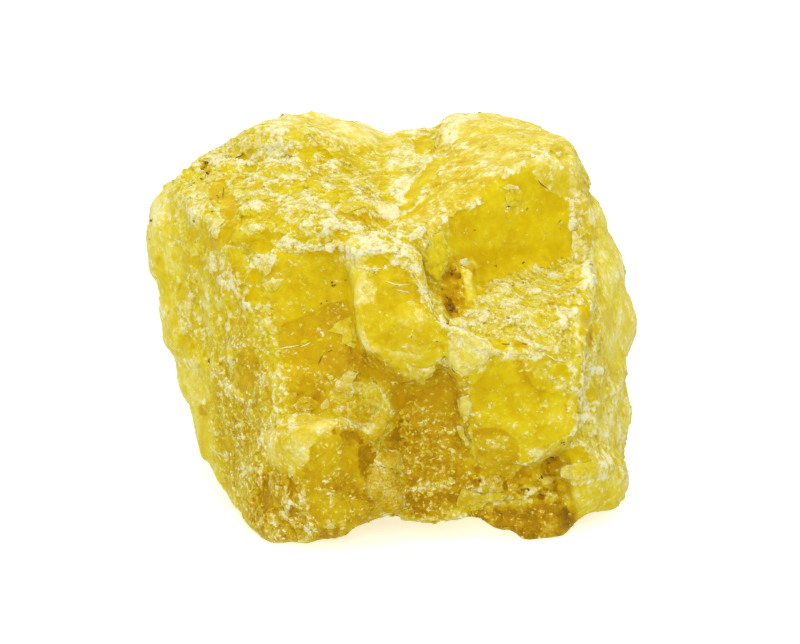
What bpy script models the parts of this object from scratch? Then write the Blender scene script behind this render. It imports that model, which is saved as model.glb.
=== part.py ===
# Sulfur specimen: one broken lump of native sulfur, 62 mm wide, that stands on three worn feet.
# The lump is laid out as an eye sees it that looks down on its best side. Every corner below is
# (across, up, near) in millimetres: across runs to the right, up runs up the view and near runs
# towards the eye. stand() turns those into world metres, +Z up.

import math

import bmesh
import bpy
from mathutils import Matrix, Vector, noise

MM = 0.001

# Driving dimensions, in millimetres unless they say otherwise
LOOK_DOWN = math.radians(20.0)
EYE_AWAY = 555.6  # the eye is this far from the middle of the view, so what is far looks smaller
VIEW_MIDDLE = (1.25, 27.5)
FOOT_NEAR = 9.0  # the front feet touch the ground this far towards the eye
GROUND = 0.6  # height at which the feet are worn flat
FIRST_GRAIN = 0.6  # grain at which the blocks are fused
SECOND_GRAIN = 0.5  # grain at which the roughened lump is fused again
TRIANGLES = 9400

# Broken blocks of the lump, each the convex solid through its corners
BLOCKS = {
    "heart": [
        (-25, 40, -16), (-23, 17, -14), (-14, 9, -8), (0, 7, -4), (14, 8, -5), (24, 12, -9),
        (26, 38, -12), (12, 50, -23), (-2, 50, -24), (-14, 51, -22), (-23, 44, -18),
        (-19, 21, -25), (2, 18, -28), (20, 20, -23), (18, 40, -25), (4, 32, -30),
        (-12, 34, -28), (0, 36, 8), (-14, 30, 9), (18, 30, 2), (8, 14, 8),
    ],
    "left_wall": [
        (-30.0, 38.0, -8), (-27.8, 45.0, -5), (-23.8, 41.4, 4), (-20.6, 35.5, 8.5), (-15.0, 26.5, 13),
        (-13.4, 17.5, 14), (-14.0, -0.2, 10.5), (-15.8, -0.5, 9), (-21.4, 6.2, 1), (-23.8, 9.8, -3),
        (-24.2, 16.0, -6), (-28.2, 28.6, -8), (-29.6, 32.0, -9), (-25.0, 40.0, -18), (-22.0, 22.0, -22),
        (-10.0, 9.0, -8), (-8.0, 30.0, 4), (-16.0, 38.0, 2),
    ],
    "left_front": [
        (-21.0, 36.0, 8.5), (-23.0, 40.4, 4), (-17.5, 39.4, 10), (-11.2, 39.6, 13.5), (-5.0, 38.8, 14.5),
        (-13.4, 15.0, 14), (-1.5, 17.0, 12.5), (0.0, 28.0, 13), (-12.0, 12.0, 11), (-2.0, 12.0, 9),
        (-18.0, 38.0, -18), (0.0, 38.0, -18), (-8.0, 11.0, -9),
    ],
    "left_roof": [
        (-27.0, 46.2, -6), (-22.8, 49.2, -12), (-19.0, 51.4, -16), (-16.6, 53.0, -18), (-13.4, 53.8, -20),
        (-7.5, 53.6, -21), (-2.6, 52.8, -19), (-1.4, 47.0, -5), (-1.4, 42.0, 8), (-4.0, 39.4, 14), (-11.0, 40.0, 13),
        (-17.5, 39.8, 9), (-24.2, 42.0, 3), (-26.0, 34.0, -10), (-4.0, 30.0, -24), (-20.0, 36.0, -20),
    ],
    "roof_slab": [
        (-18.0, 42.4, 7.0), (-15.0, 41.0, 10), (-8.0, 40.6, 13.2), (-3.6, 40.0, 14.2), (-1.6, 43.0, 8),
        (-8.6, 48.4, -2), (-15.0, 47.2, -2), (-12.0, 36.0, 8), (-4.0, 36.0, 8),
    ],
    "groove_floor": [
        (-3.0, 51.6, -19), (1.2, 52.2, -19), (6.0, 52.2, -18), (3.4, 42.6, 0.5), (-1.0, 41.0, 5.5), (3.2, 39.4, 9.5),
        (-2.4, 39.4, 13.4), (4.4, 36.0, 14), (6.0, 30.0, 10), (-3.0, 30.0, 8), (0.0, 36.0, -22),
        (8.0, 36.0, -20),
    ],
    "right_roof": [
        (1.8, 39.8, 10), (6.2, 40.0, 11.5), (10.2, 42.8, 10), (13.8, 45.2, 9), (18.2, 48.0, 7.5),
        (22.8, 48.4, 4), (24.8, 45.8, -3), (22.6, 50.4, -8), (19.6, 52.0, -12), (16.4, 53.0, -16),
        (12.8, 54.2, -19), (7.0, 53.8, -19), (6.0, 50.0, -10), (3.8, 45.6, 0), (4.4, 36.5, 9), (8.0, 31.5, 7),
        (25.8, 35.0, 1.5), (26.6, 40.0, -5), (8.0, 32.0, -22), (23.0, 34.0, -19),
    ],
    "groove_ledges": [
        (1.0, 40.2, 10.4), (3.0, 41.8, 7.5), (7.6, 46.0, 1), (9.6, 44.4, 3), (7.0, 40.8, 10.8),
        (3.0, 36.0, 6), (8.0, 36.0, 0),
    ],
    "shelf": [
        (7.6, 31.6, 8), (16.0, 34.2, 6), (25.4, 35.6, 2), (24.8, 30.0, 9), (23.9, 24.6, 15.6),
        (16.4, 24.8, 19), (7.6, 26.2, 17.6), (6.8, 23.0, 18), (8.6, 17.8, 16.2), (11.2, 9.2, 13.6),
        (17.4, 9.4, 14), (23.0, 13.4, 14), (24.2, 20.0, 16), (9.0, 26.0, -6), (25.0, 28.0, -6),
        (12.0, 10.0, -4), (23.0, 12.0, -4),
    ],
    "right_wall": [
        (25.6, 35.4, 1), (28.4, 34.4, -3), (29.8, 28.0, -5), (28.8, 21.8, -3), (29.8, 15.0, -2),
        (28.6, 7.0, 0), (27.2, 12.0, 4.5), (25.6, 10.0, 7.5), (25.4, 16.0, 8.6), (25.4, 24.0, 9.6),
        (25.6, 30.0, 4.6), (22.0, 30.0, -18), (23.0, 11.5, -12), (18.0, 8.0, 0), (21.0, 18.0, 8.6),
        (21.0, 26.0, 8.6),
    ],
    "sole": [
        (-7.0, 5.8, 8.0), (3.0, 4.6, 8.0), (8.0, 6.0, 6.0), (-8.0, 8.4, -6), (10.0, 8.4, -6), (-4.0, 13.0, 10),
        (6.0, 13.0, 8),
    ],
    "under_shelf_fill": [
        (13.0, 7.0, 8.5), (20.0, 6.4, 7.6), (25.4, 8.6, 7.6), (25.6, 16.0, 10), (22.0, 14.0, 12),
        (14.0, 12.0, 12), (14.0, 8.0, -6), (24.0, 10.0, -8), (24.0, 18.0, -4), (12.0, 16.0, -4),
    ],
    "lower_front": [
        (-3.0, 20.0, 13.5), (9.0, 20.0, 13.5), (-1.4, 3.6, 9.5), (2.0, 2.6, 10), (6.2, 2.2, 10),
        (10.6, 3.4, 9.5), (17.0, 6.0, 9), (14.0, 10.0, 12.5), (-2.0, 10.0, -4), (6.0, 6.0, -6),
        (18.0, 8.0, -6), (20.0, 12.0, 8),
    ],
    "lower_sill": [
        (7.4, 5.4, 10), (12.0, 4.2, 10), (17.6, 5.2, 10.4), (21.0, 7.0, 10.6), (18.4, 9.4, 11.6),
        (13.6, 8.4, 12.4), (10.0, 8.0, 11.2), (12.0, 6.0, 4), (20.0, 8.0, 4),
    ],
    "left_foot": [
        (-15.4, 13.4, 14.0), (-11.4, 15.4, 18.0), (-6.6, 15.6, 17.6), (-2.2, 14.4, 14), (-8.0, 12.0, 18.2),
        (-15.4, -0.6, 9.5), (-11.2, -0.6, 11.5), (-4.4, 0.5, 12.6), (-0.8, 3.2, 11), (-1.0, 8.0, 13.5),
        (-7.4, 4.0, 15.8), (-14.0, 5.2, -6), (-4.0, 5.8, -6), (-6.0, 14.0, 0),
    ],
    "right_foot": [
        (10.6, 3.8, 9), (13.8, 1.4, 9.5), (17.2, -0.5, 9.5), (21.4, -0.7, 8.8), (24.0, 2.0, 6.5),
        (25.0, 4.4, 6), (19.4, 6.4, 10.5), (13.0, 6.6, 9.5), (11.0, 7.4, -8), (22.0, 8.4, -10),
        (18.0, 3.0, 2),
    ],
    "right_heel": [
        (22.4, 9.4, 12.6), (26.6, 10.6, 10.4), (29.8, 10.2, 4), (29.8, 6.0, 2.5), (28.2, 3.6, 4),
        (23.9, 2.9, 8.5), (22.4, 6.0, 11.6), (24.0, 9.6, -6), (28.0, 11.0, -6),
    ],
    "heel_chip": [
        (21.8, 12.4, 12.8), (25.4, 13.0, 12), (27.2, 10.0, 9.6), (22.2, 9.6, 12.6), (24.0, 11.0, 4),
    ],
    "rear_foot": [
        (-10.0, 9.8, -18), (6.0, 9.4, -17), (-3.0, 8.6, -14), (-11.0, 13.0, -22), (7.0, 13.0, -22),
        (-14.0, 12.0, -12), (12.0, 10.5, -12), (-8.0, 24.0, -27), (8.0, 22.0, -27), (0.0, 10.0, -6),
    ],
    "rear_left_face": [
        (-26.0, 42.0, -13), (-20.0, 46.0, -21), (-10.0, 48.0, -25), (-8.0, 30.0, -31), (-18.0, 22.0, -27),
        (-25.0, 26.0, -17), (-14.0, 36.0, -30), (-10.0, 20.0, -24), (-16.0, 40.0, -10),
    ],
    "rear_right_face": [
        (6.0, 46.0, -26), (18.0, 45.0, -24), (24.0, 36.0, -19), (22.0, 20.0, -19), (12.0, 18.0, -27),
        (4.0, 24.0, -31), (5.0, 36.0, -31), (12.0, 30.0, -10),
    ],
    "rear_ledge": [
        (-8.0, 22.0, -30), (6.0, 20.0, -31), (12.0, 16.5, -25), (4.0, 14.0, -26), (-8.0, 15.0, -26),
        (0.0, 18.0, -18),
    ],
    "rear_step": [
        (-22.0, 30.0, -24), (-12.0, 31.0, -31), (-2.0, 28.0, -33), (0.0, 20.0, -30), (-10.0, 17.0, -26),
        (-20.0, 20.0, -22), (-10.0, 26.0, -16),
    ],
}

# Worn lobes between the blocks, each a rough knob: (centre), (half sizes)
LOBES = {
    "left_shoulder": ((-25.4, 37.6, -10), (5.8, 8.6, 9)),
    "left_cheek": ((-23.8, 41.6, -8), (4.4, 5.0, 8)),
    "left_hip": ((-22.6, 30.0, -8), (5.8, 7.6, 10)),
    "left_knee": ((-18.6, 13.0, -4), (4.6, 6.4, 8)),
    "roof_left": ((-12.0, 47.8, -12), (9.0, 5.6, 11)),
    "roof_mid_left": ((-6.0, 48.8, -15), (6.6, 4.2, 8)),
    "roof_right": ((11.4, 48.2, -14), (7.4, 5.8, 9)),
    "roof_far_right": ((18.2, 45.8, -6), (6.0, 5.8, 9)),
    "right_shoulder": ((22.6, 38.8, -6), (5.0, 6.2, 8)),
    "right_upper": ((24.0, 33.6, -8), (6.2, 6.8, 9)),
    "right_middle": ((25.0, 27.4, -8), (6.6, 7.4, 9)),
    "right_lower": ((24.2, 14.4, -3), (6.6, 8.2, 9)),
    "rear_left": ((-13.0, 33.0, -20), (11.0, 14.0, 11)),
    "rear_right": ((15.0, 27.0, -18), (11.0, 13.0, 11)),
}

# Hollows left where a flake sprang off: (centre), (half sizes)
SCOOPS = {
    "left_window": ((-9.6, 28.4, 20.6), (9.2, 13.6, 9.6)),
    "right_window": ((17.4, 39.8, 18.8), (11.6, 7.4, 10.6)),
    "under_nose": ((4.2, 12.2, 23.4), (8.8, 9.8, 12.0)),
    "roof_dent": ((-7.0, 49.4, 4.0), (7.0, 5.0, 9.0)),
    "rear_bite": ((4.0, 40.0, -34.0), (9.0, 9.0, 7.0)),
    "rear_low_bite": ((12.0, 13.0, -30.0), (8.0, 6.0, 7.0)),
    "left_bite": ((-27.0, 20.0, 3.0), (5.0, 7.0, 5.0)),
}

# Blocks that stand in front of the hollows
FRONT_BLOCKS = {
    "nose": [
        (-5.4, 38.4, 14.8), (-1.2, 39.2, 15.6), (2.6, 38.6, 15.0), (-4.4, 35.0, 18.0), (1.4, 36.4, 18.6),
        (4.4, 32.6, 19.4), (7.0, 27.0, 19.8), (6.8, 24.6, 19.6), (5.2, 21.2, 18.8), (2.2, 19.8, 18.4),
        (-0.6, 22.0, 19.0), (-3.8, 24.6, 18.4), (-4.6, 30.0, 18.6), (-4.0, 31.0, 4), (6.5, 30.0, 6),
        (6.0, 20.0, 8), (-2.5, 20.0, 10),
    ],
    "nose_lip": [
        (-5.6, 38.6, 15.4), (2.8, 38.2, 15.8), (4.6, 34.6, 19.0), (0.0, 36.6, 19.4), (-5.0, 36.4, 18.0),
        (0.0, 34.0, 12),
    ],
    "nose_cheek": [
        (-0.4, 22.4, 19.8), (4.6, 22.6, 19.6), (5.4, 26.0, 20.4), (2.2, 29.4, 20.6), (-1.8, 27.0, 20.0),
        (2.0, 24.0, 14),
    ],
    "nose_bridge": [
        (-8.4, 40.0, 13.8), (-2.0, 40.6, 12.0), (3.8, 39.6, 12.0), (4.6, 37.0, 15.0), (-6.4, 37.0, 15.6),
        (-9.4, 36.6, 13.0), (-6.0, 36.0, 5.0), (4.0, 36.0, 5.0),
    ],
    "nose_root": [
        (-3.0, 25.0, 15), (5.0, 24.0, 16), (8.0, 28.0, 14), (-2.6, 17.0, 12.6), (6.0, 17.0, 12),
        (9.0, 20.0, 13), (0.0, 22.0, 2), (8.0, 24.0, 2),
    ],
    "pocket_wall": [
        (5.0, 38.4, 11.6), (8.4, 37.0, 10.6), (9.0, 30.0, 10.0), (5.4, 30.0, 13.0), (5.6, 34.4, 13.6),
        (6.0, 32.0, 4), (9.0, 34.0, 4),
    ],
    "prism": [
        (9.0, 34.6, 11.4), (10.0, 35.0, 11.0), (10.9, 34.0, 11.2), (10.2, 30.0, 13.2), (8.8, 30.2, 13.4),
        (9.6, 31.0, 6),
    ],
    "shelf_chip": [
        (6.4, 26.8, 18.8), (9.4, 26.6, 19.6), (13.6, 24.2, 19.8), (8.0, 18.8, 17.8), (11.0, 20.0, 18.2),
        (6.6, 23.0, 18.8), (8.0, 24.0, 12),
    ],
    "fan_chip": [
        (-2.8, 7.0, 14.8), (-1.0, 8.8, 15.0), (1.4, 7.8, 14.2), (1.8, 4.8, 12.8), (0.0, 3.2, 12),
        (-2.0, 4.4, 13.4), (-0.4, 6.0, 9),
    ],
    "knob_chip": [
        (-1.2, 11.4, 13.6), (0.8, 11.6, 13.6), (1.6, 9.0, 13.4), (-0.6, 8.4, 14.2), (0.0, 10.0, 9),
    ],
    "long_chip": [
        (-2.0, 19.8, 14.8), (0.0, 19.2, 15.0), (0.4, 15.6, 14.6), (-0.6, 12.8, 13.8), (-1.8, 13.6, 14.0),
        (-1.6, 16.6, 15.0), (-0.8, 16.0, 9),
    ],
}

# Thin broken layers on the right roof's inner slope
LEDGES_AT = (4.5, 44.0, 3.0)
LEDGES_REACH = 8.0
LEDGES_RISE = Vector((0.78, 0.22, -0.58))
LEDGE_PITCH = 2.3
LEDGE_HEIGHT = 0.7

# Behind this depth and under this height the lump is broken into larger plates
REAR_FROM = 30.0
REAR_UNDER = 38.0

# Smooth fracture faces, where the roughness dies out: (centre), (reach)
SMOOTH_FACES = [
    ((-8.0, 28.5, 13.0), 7.0),
    ((12.0, 38.0, 8.0), 5.5),
    ((18.0, 41.0, 7.0), 6.5),
    ((15.5, 19.0, 16.0), 6.0),
    ((3.0, 12.0, 11.0), 6.0),
    ((13.0, 48.5, -4.0), 6.5),
]


def stand(across, up, near):
    """World metres of a point of the layout."""
    shrink = 1.0 - near / EYE_AWAY
    right = VIEW_MIDDLE[0] + (across - VIEW_MIDDLE[0]) * shrink
    rise = VIEW_MIDDLE[1] + (up - VIEW_MIDDLE[1]) * shrink
    reach = near - FOOT_NEAR
    return Vector(
        (
            right * MM,
            (rise * math.sin(LOOK_DOWN) - reach * math.cos(LOOK_DOWN)) * MM,
            (rise * math.cos(LOOK_DOWN) + reach * math.sin(LOOK_DOWN)) * MM,
        )
    )


def clear_scene():
    for obj in list(bpy.data.objects):
        bpy.data.objects.remove(obj, do_unlink=True)


def new_collection(name, shown):
    made = bpy.data.collections.new(name)
    made.hide_render = not shown
    bpy.context.scene.collection.children.link(made)
    return made


def object_from(bm, name, collection):
    mesh = bpy.data.meshes.new(name)
    bm.to_mesh(mesh)
    bm.free()
    obj = bpy.data.objects.new(name, mesh)
    collection.objects.link(obj)
    return obj


def helper_from(bm, name, collection):
    helper = object_from(bm, name, collection)
    helper.hide_render = True
    helper.display_type = "WIRE"
    return helper


def add_hull(name, points, collection):
    bm = bmesh.new()
    for point in points:
        bm.verts.new(point)
    hull = bmesh.ops.convex_hull(bm, input=bm.verts)
    inside = [item for item in hull["geom_interior"] if isinstance(item, bmesh.types.BMVert)]
    bmesh.ops.delete(bm, geom=inside, context="VERTS")
    bmesh.ops.recalc_face_normals(bm, faces=bm.faces)
    return helper_from(bm, name, collection)


def add_blocks(blocks, collection):
    for name, corners in blocks.items():
        add_hull(name, [stand(*corner) for corner in corners], collection)


def add_knobs(knobs, detail, collection):
    """Rough knobs: the hull of a ball's points, each pulled in or out a little."""
    for name, (centre, half_sizes) in knobs.items():
        seed = Vector(centre) * 0.37
        points = []
        bm = bmesh.new()
        bmesh.ops.create_icosphere(bm, subdivisions=detail, radius=1.0)
        for vert in bm.verts:
            reach = 0.93 + 0.16 * noise.noise(vert.co * 1.4 + seed)
            knob = [centre[0] + vert.co.x * half_sizes[0] * reach]
            knob.append(centre[1] + vert.co.z * half_sizes[1] * reach)
            knob.append(centre[2] - vert.co.y * half_sizes[2] * reach)
            points.append(stand(*knob))
        bm.free()
        add_hull(name, points, collection)


def bake(obj):
    """Turns the object's modifiers into its mesh."""
    bpy.context.view_layer.update()
    graph = bpy.context.evaluated_depsgraph_get()
    mesh = bpy.data.meshes.new_from_object(obj.evaluated_get(graph))
    obj.modifiers.clear()
    obj.data = mesh


def fuse(obj, grain, smoothing):
    """One skin all round, of even grain, with its sharpest creases eased."""
    remesh = obj.modifiers.new("fuse", "REMESH")
    remesh.mode = "VOXEL"
    remesh.voxel_size = grain * MM
    ease = obj.modifiers.new("ease", "SMOOTH")
    ease.factor = 0.5
    ease.iterations = smoothing
    bake(obj)


def keep_outer_skin(obj):
    """Drops the skins of gaps that are closed in between the blocks."""
    bm = bmesh.new()
    bm.from_mesh(obj.data)
    unseen = set(bm.verts)
    skins = []
    while unseen:
        queue = [unseen.pop()]
        skin = set(queue)
        while queue:
            vert = queue.pop()
            for edge in vert.link_edges:
                other = edge.other_vert(vert)
                if other in unseen:
                    unseen.remove(other)
                    skin.add(other)
                    queue.append(other)
        skins.append(skin)
    skins.sort(key=len)
    for skin in skins[:-1]:
        bmesh.ops.delete(bm, geom=list(skin), context="VERTS")
    bm.to_mesh(obj.data)
    bm.free()
    print("skins closed in or loose:", len(skins) - 1)


def join_blocks(blocks, scoops, front_blocks, name, collection):
    lump = bpy.data.objects.new(name, blocks.objects["heart"].data.copy())
    collection.objects.link(lump)
    steps = (("join", "UNION", blocks), ("scoop", "DIFFERENCE", scoops), ("front", "UNION", front_blocks))
    for step, operation, others in steps:
        boolean = lump.modifiers.new(step, "BOOLEAN")
        boolean.operation = operation
        boolean.solver = "EXACT"
        boolean.operand_type = "COLLECTION"
        boolean.collection = others
    fuse(lump, FIRST_GRAIN, 3)
    keep_outer_skin(lump)
    return lump


def facet_height(spot, cell, tilt, step):
    """Height over a broken face of flat facets, each tilted its own way, that meet in small steps."""
    where = spot / cell
    centre = noise.voronoi(where)[1][0]
    lean = noise.cell_vector(centre + Vector((9.0, 4.0, 2.0))) - Vector((0.5, 0.5, 0.5))
    return ((where - centre).dot(lean) * tilt + lean.x * step) * cell


def ledges(spot):
    """Thin layers that broke off one behind the other, as steps up the slope of the right roof."""
    near_them = max(0.0, 1.0 - (spot - stand(*LEDGES_AT) / MM).length / LEDGES_REACH)
    layer = spot.dot(LEDGES_RISE) / LEDGE_PITCH
    return (0.5 - layer % 1.0) * LEDGE_HEIGHT * min(1.0, 2.0 * near_them)


def roughness(spot):
    """How far the broken surface stands out at a spot, both in millimetres."""
    calm = 1.0
    for centre, reach in SMOOTH_FACES:
        away = (spot - stand(*centre) / MM).length / reach
        calm = min(calm, 0.12 + 0.88 * min(1.0, away * away))
    broad = noise.fractal(spot / 12.0, 1.0, 2.0, 2) * 0.4
    slabs = facet_height(spot, 6.0, 0.22, 0.07)
    chips = facet_height(spot + Vector((40.0, 0.0, 0.0)), 2.8, 0.24, 0.10)
    behind = min(1.0, max(0.0, (spot.y - REAR_FROM) / 10.0)) * min(1.0, max(0.0, (REAR_UNDER - spot.z) / 6.0))
    plates = facet_height(spot + Vector((0.0, 70.0, 0.0)), 11.0, 0.34, 0.07) * behind
    return broad * (0.4 + 0.6 * calm) + (slabs + chips) * calm + plates + ledges(spot) - 0.1


def roughen(obj):
    mesh = obj.data
    normals = [vertex.normal.copy() for vertex in mesh.vertices]
    for vertex, normal in zip(mesh.vertices, normals):
        vertex.co += normal * roughness(vertex.co / MM) * MM
    mesh.update()


def thin_out(obj, triangles):
    """Fewer, larger faces, so that the fine grain becomes flat facets."""
    thin = obj.modifiers.new("thin", "DECIMATE")
    thin.ratio = triangles / sum(len(face.vertices) - 2 for face in obj.data.polygons)
    bake(obj)


def wear_feet(obj, collection):
    """Takes off what reaches below the ground, which leaves a flat under each foot."""
    bm = bmesh.new()
    bmesh.ops.create_cube(bm, size=0.1)
    bmesh.ops.translate(bm, vec=(0.0, 0.02, GROUND * MM - 0.05), verts=bm.verts)
    ground = helper_from(bm, "ground", collection)
    wear = obj.modifiers.new("wear", "BOOLEAN")
    wear.operation = "DIFFERENCE"
    wear.solver = "EXACT"
    wear.object = ground
    bake(obj)


def stand_on_origin(obj):
    """Moves the lump so that the middle of its underside's bounding box is the origin."""
    spots = [vertex.co for vertex in obj.data.vertices]
    low = Vector([min(spot[axis] for spot in spots) for axis in range(3)])
    high = Vector([max(spot[axis] for spot in spots) for axis in range(3)])
    move = Vector((-(low.x + high.x) / 2, -(low.y + high.y) / 2, -low.z))
    obj.data.transform(Matrix.Translation(move))
    obj["shift"] = move
    print("size mm", [round(side / MM, 2) for side in high - low])


def sulfur_material():
    material = bpy.data.materials.new("native_sulfur")
    material.use_nodes = True
    surface = material.node_tree.nodes["Principled BSDF"]
    surface.inputs["Base Color"].default_value = (0.76, 0.58, 0.03, 1.0)
    surface.inputs["Roughness"].default_value = 0.5
    surface.inputs["Subsurface Weight"].default_value = 0.3
    surface.inputs["Subsurface Radius"].default_value = (0.004, 0.003, 0.0004)
    return material


def main():
    clear_scene()
    specimen = new_collection("sulfur_specimen", True)
    blocks = new_collection("blocks", False)
    scoops = new_collection("scoops", False)
    front_blocks = new_collection("front_blocks", False)
    ground = new_collection("ground", False)
    add_blocks(BLOCKS, blocks)
    add_knobs(LOBES, 2, blocks)
    add_knobs(SCOOPS, 2, scoops)
    add_blocks(FRONT_BLOCKS, front_blocks)
    lump = join_blocks(blocks, scoops, front_blocks, "sulfur_mass", specimen)
    roughen(lump)
    fuse(lump, SECOND_GRAIN, 1)
    keep_outer_skin(lump)
    thin_out(lump, TRIANGLES)
    wear_feet(lump, ground)
    keep_outer_skin(lump)
    stand_on_origin(lump)
    lump.data.materials.clear()
    lump.data.materials.append(sulfur_material())


main()
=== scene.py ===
# Native sulfur hand specimen: the fine broken surface of the lump, the flakes, crumbs and dark
# grains that cling to it, and a plain studio.
import math

import bmesh
import bpy
import numpy as np
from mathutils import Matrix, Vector, noise
from mathutils.bvhtree import BVHTree


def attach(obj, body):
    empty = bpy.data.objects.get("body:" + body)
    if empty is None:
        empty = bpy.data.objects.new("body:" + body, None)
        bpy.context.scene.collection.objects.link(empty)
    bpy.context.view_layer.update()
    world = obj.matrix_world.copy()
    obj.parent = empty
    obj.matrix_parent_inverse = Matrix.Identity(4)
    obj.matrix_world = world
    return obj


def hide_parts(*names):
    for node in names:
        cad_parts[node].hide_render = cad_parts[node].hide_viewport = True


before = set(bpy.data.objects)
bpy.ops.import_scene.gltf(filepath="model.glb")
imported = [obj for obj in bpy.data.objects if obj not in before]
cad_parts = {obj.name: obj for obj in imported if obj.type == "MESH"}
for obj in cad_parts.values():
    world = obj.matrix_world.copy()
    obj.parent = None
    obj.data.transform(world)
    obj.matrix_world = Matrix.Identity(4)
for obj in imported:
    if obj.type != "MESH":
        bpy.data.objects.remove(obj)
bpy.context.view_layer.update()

mm = 0.001

# Places on the lump are (across, up) in millimetres, as the camera sees them: across runs to the
# right and up runs up the view, both in the upright plane of the view's middle.
view = {
    "lookDown": 20.0,  # degrees below level
    "eyeAway": 0.5556,  # metres from the eye to the middle of the view
    "lens": 200.0,
    "sensor": 36.0,
    "middle": (0.001266, -0.004814, 0.022163),
    "middleAcross": 1.25,
    "middleUp": 27.5,
}


def cameraAxes():
    slope = math.radians(view["lookDown"])
    forward = Vector((0.0, math.cos(slope), -math.sin(slope)))
    upward = Vector((0.0, math.sin(slope), math.cos(slope)))
    eye = Vector(view["middle"]) - forward * view["eyeAway"]
    return eye, forward, upward


# where points of the lump lie in the view, and how squarely their surface faces it
def placesSeen(spots, normals):
    eye, forward, upward = (np.array(axis) for axis in cameraAxes())
    rays = spots - eye
    depth = rays @ forward
    scale = view["eyeAway"] / depth / mm
    across = view["middleAcross"] + (rays[:, 0] - (view["middle"][0] - eye[0])) * scale
    up = view["middleUp"] + (rays @ upward) * scale
    facing = -(normals * rays).sum(1) / np.linalg.norm(rays, axis=1)
    return across, up, facing


def sightLine(across, up):
    eye, forward, upward = cameraAxes()
    aim = Vector(view["middle"])
    aim.x += (across - view["middleAcross"]) * mm
    aim += upward * (up - view["middleUp"]) * mm
    return eye, (aim - eye).normalized()


def toLinear(hexColour):
    channels = [int(hexColour[i : i + 2], 16) / 255 for i in (1, 3, 5)]
    return [c / 12.92 if c <= 0.04045 else ((c + 0.055) / 1.055) ** 2.4 for c in channels] + [1.0]


def addNode(tree, kind, inputs=None, **settings):
    node = tree.nodes.new(kind)
    for name, value in settings.items():
        setattr(node, name, value)
    for socket, value in (inputs or {}).items():
        if isinstance(value, bpy.types.NodeSocket):
            tree.links.new(value, node.inputs[socket])
        else:
            node.inputs[socket].default_value = value
    return node


def newPiece(name, mesh, material):
    piece = bpy.data.objects.new(name, mesh)
    bpy.context.scene.collection.objects.link(piece)
    mesh.materials.clear()
    mesh.materials.append(material)
    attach(piece, "root")
    return piece


# a smooth step from 0 to 1 between two values
def eased(values, start, end):
    t = np.clip((values - start) / (end - start), 0.0, 1.0)
    return t * t * (3.0 - 2.0 * t)


# The camera and the studio.
studio = {
    "floorRadius": 2.5,
    "floor": "#F4F4F2", "floorGlow": 0.5,
    "skyStrength": 0.72,
    "topSize": 0.9, "topHeight": 0.75, "topBehind": 0.12, "topPower": 2.3,
    "frontSize": 0.5, "frontPlace": (-0.1, -0.75, 0.4), "frontPower": 2.2,
}


def makeCamera():
    eye, forward, upward = cameraAxes()
    data = bpy.data.cameras.new("camera")
    data.lens = view["lens"]
    data.sensor_width = view["sensor"]
    data.clip_start = 0.01
    data.clip_end = 20.0
    camera = bpy.data.objects.new("camera", data)
    camera.location = eye
    camera.rotation_euler = forward.to_track_quat("-Z", "Y").to_euler()
    bpy.context.scene.collection.objects.link(camera)
    bpy.context.scene.camera = camera


def makeLight(name, place, size, power):
    data = bpy.data.lights.new(name, "AREA")
    data.shape = "DISK"
    data.size = size
    data.energy = power
    light = bpy.data.objects.new(name, data)
    light.location = place
    light.rotation_euler = (-Vector(place)).to_track_quat("-Z", "Y").to_euler()
    bpy.context.scene.collection.objects.link(light)


def makeStudio():
    scene = bpy.context.scene
    scene.view_settings.view_transform = "Standard"
    world = bpy.data.worlds.new("studio")
    scene.world = world
    world.use_nodes = True
    world.node_tree.nodes["Background"].inputs["Color"].default_value = (1.0, 1.0, 1.0, 1.0)
    world.node_tree.nodes["Background"].inputs["Strength"].default_value = studio["skyStrength"]
    makeLight("topLight", (0.0, studio["topBehind"], studio["topHeight"]), studio["topSize"], studio["topPower"])
    makeLight("frontLight", studio["frontPlace"], studio["frontSize"], studio["frontPower"])

    # matt white paper
    paper = bpy.data.materials.new("whitePaper")
    paper.use_nodes = True
    surface = paper.node_tree.nodes["Principled BSDF"]
    surface.inputs["Base Color"].default_value = toLinear(studio["floor"])
    surface.inputs["Roughness"].default_value = 0.9
    surface.inputs["Specular IOR Level"].default_value = 0.0
    surface.inputs["Emission Color"].default_value = (1.0, 1.0, 1.0, 1.0)
    surface.inputs["Emission Strength"].default_value = studio["floorGlow"]
    bm = bmesh.new()
    bmesh.ops.create_circle(bm, cap_ends=True, segments=96, radius=studio["floorRadius"])
    bmesh.ops.translate(bm, vec=(0.0, 0.0, -0.05 * mm), verts=bm.verts)
    mesh = bpy.data.meshes.new("floor")
    bm.to_mesh(mesh)
    bm.free()
    mesh.materials.append(paper)
    floor = bpy.data.objects.new("floor", mesh)
    scene.collection.objects.link(floor)
    floor.visible_diffuse = False
    floor.visible_shadow = False


# The kinds of surface on the lump, each from 0 to 1:
# calm: smooth fracture, without chips      veil: milky and pale instead of clear and deep
# crust: how much of it powder covers       grit: how grainy it is
# amber: how deep and brown the yellow is, with painted shade in hollows, under overhangs and low down   speck: how thick the fine white specks lie
# streak: marks run down the edge           strata: thin broken layers
# and sunk: how deep it is hollowed, in millimetres
everywhere = dict(
    calm=0.2, veil=0.34, crust=0.38, grit=0.35, amberAndShade=0.08, speck=0.4, streak=0.0, strata=0.0, sunk=0.0,
)

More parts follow.
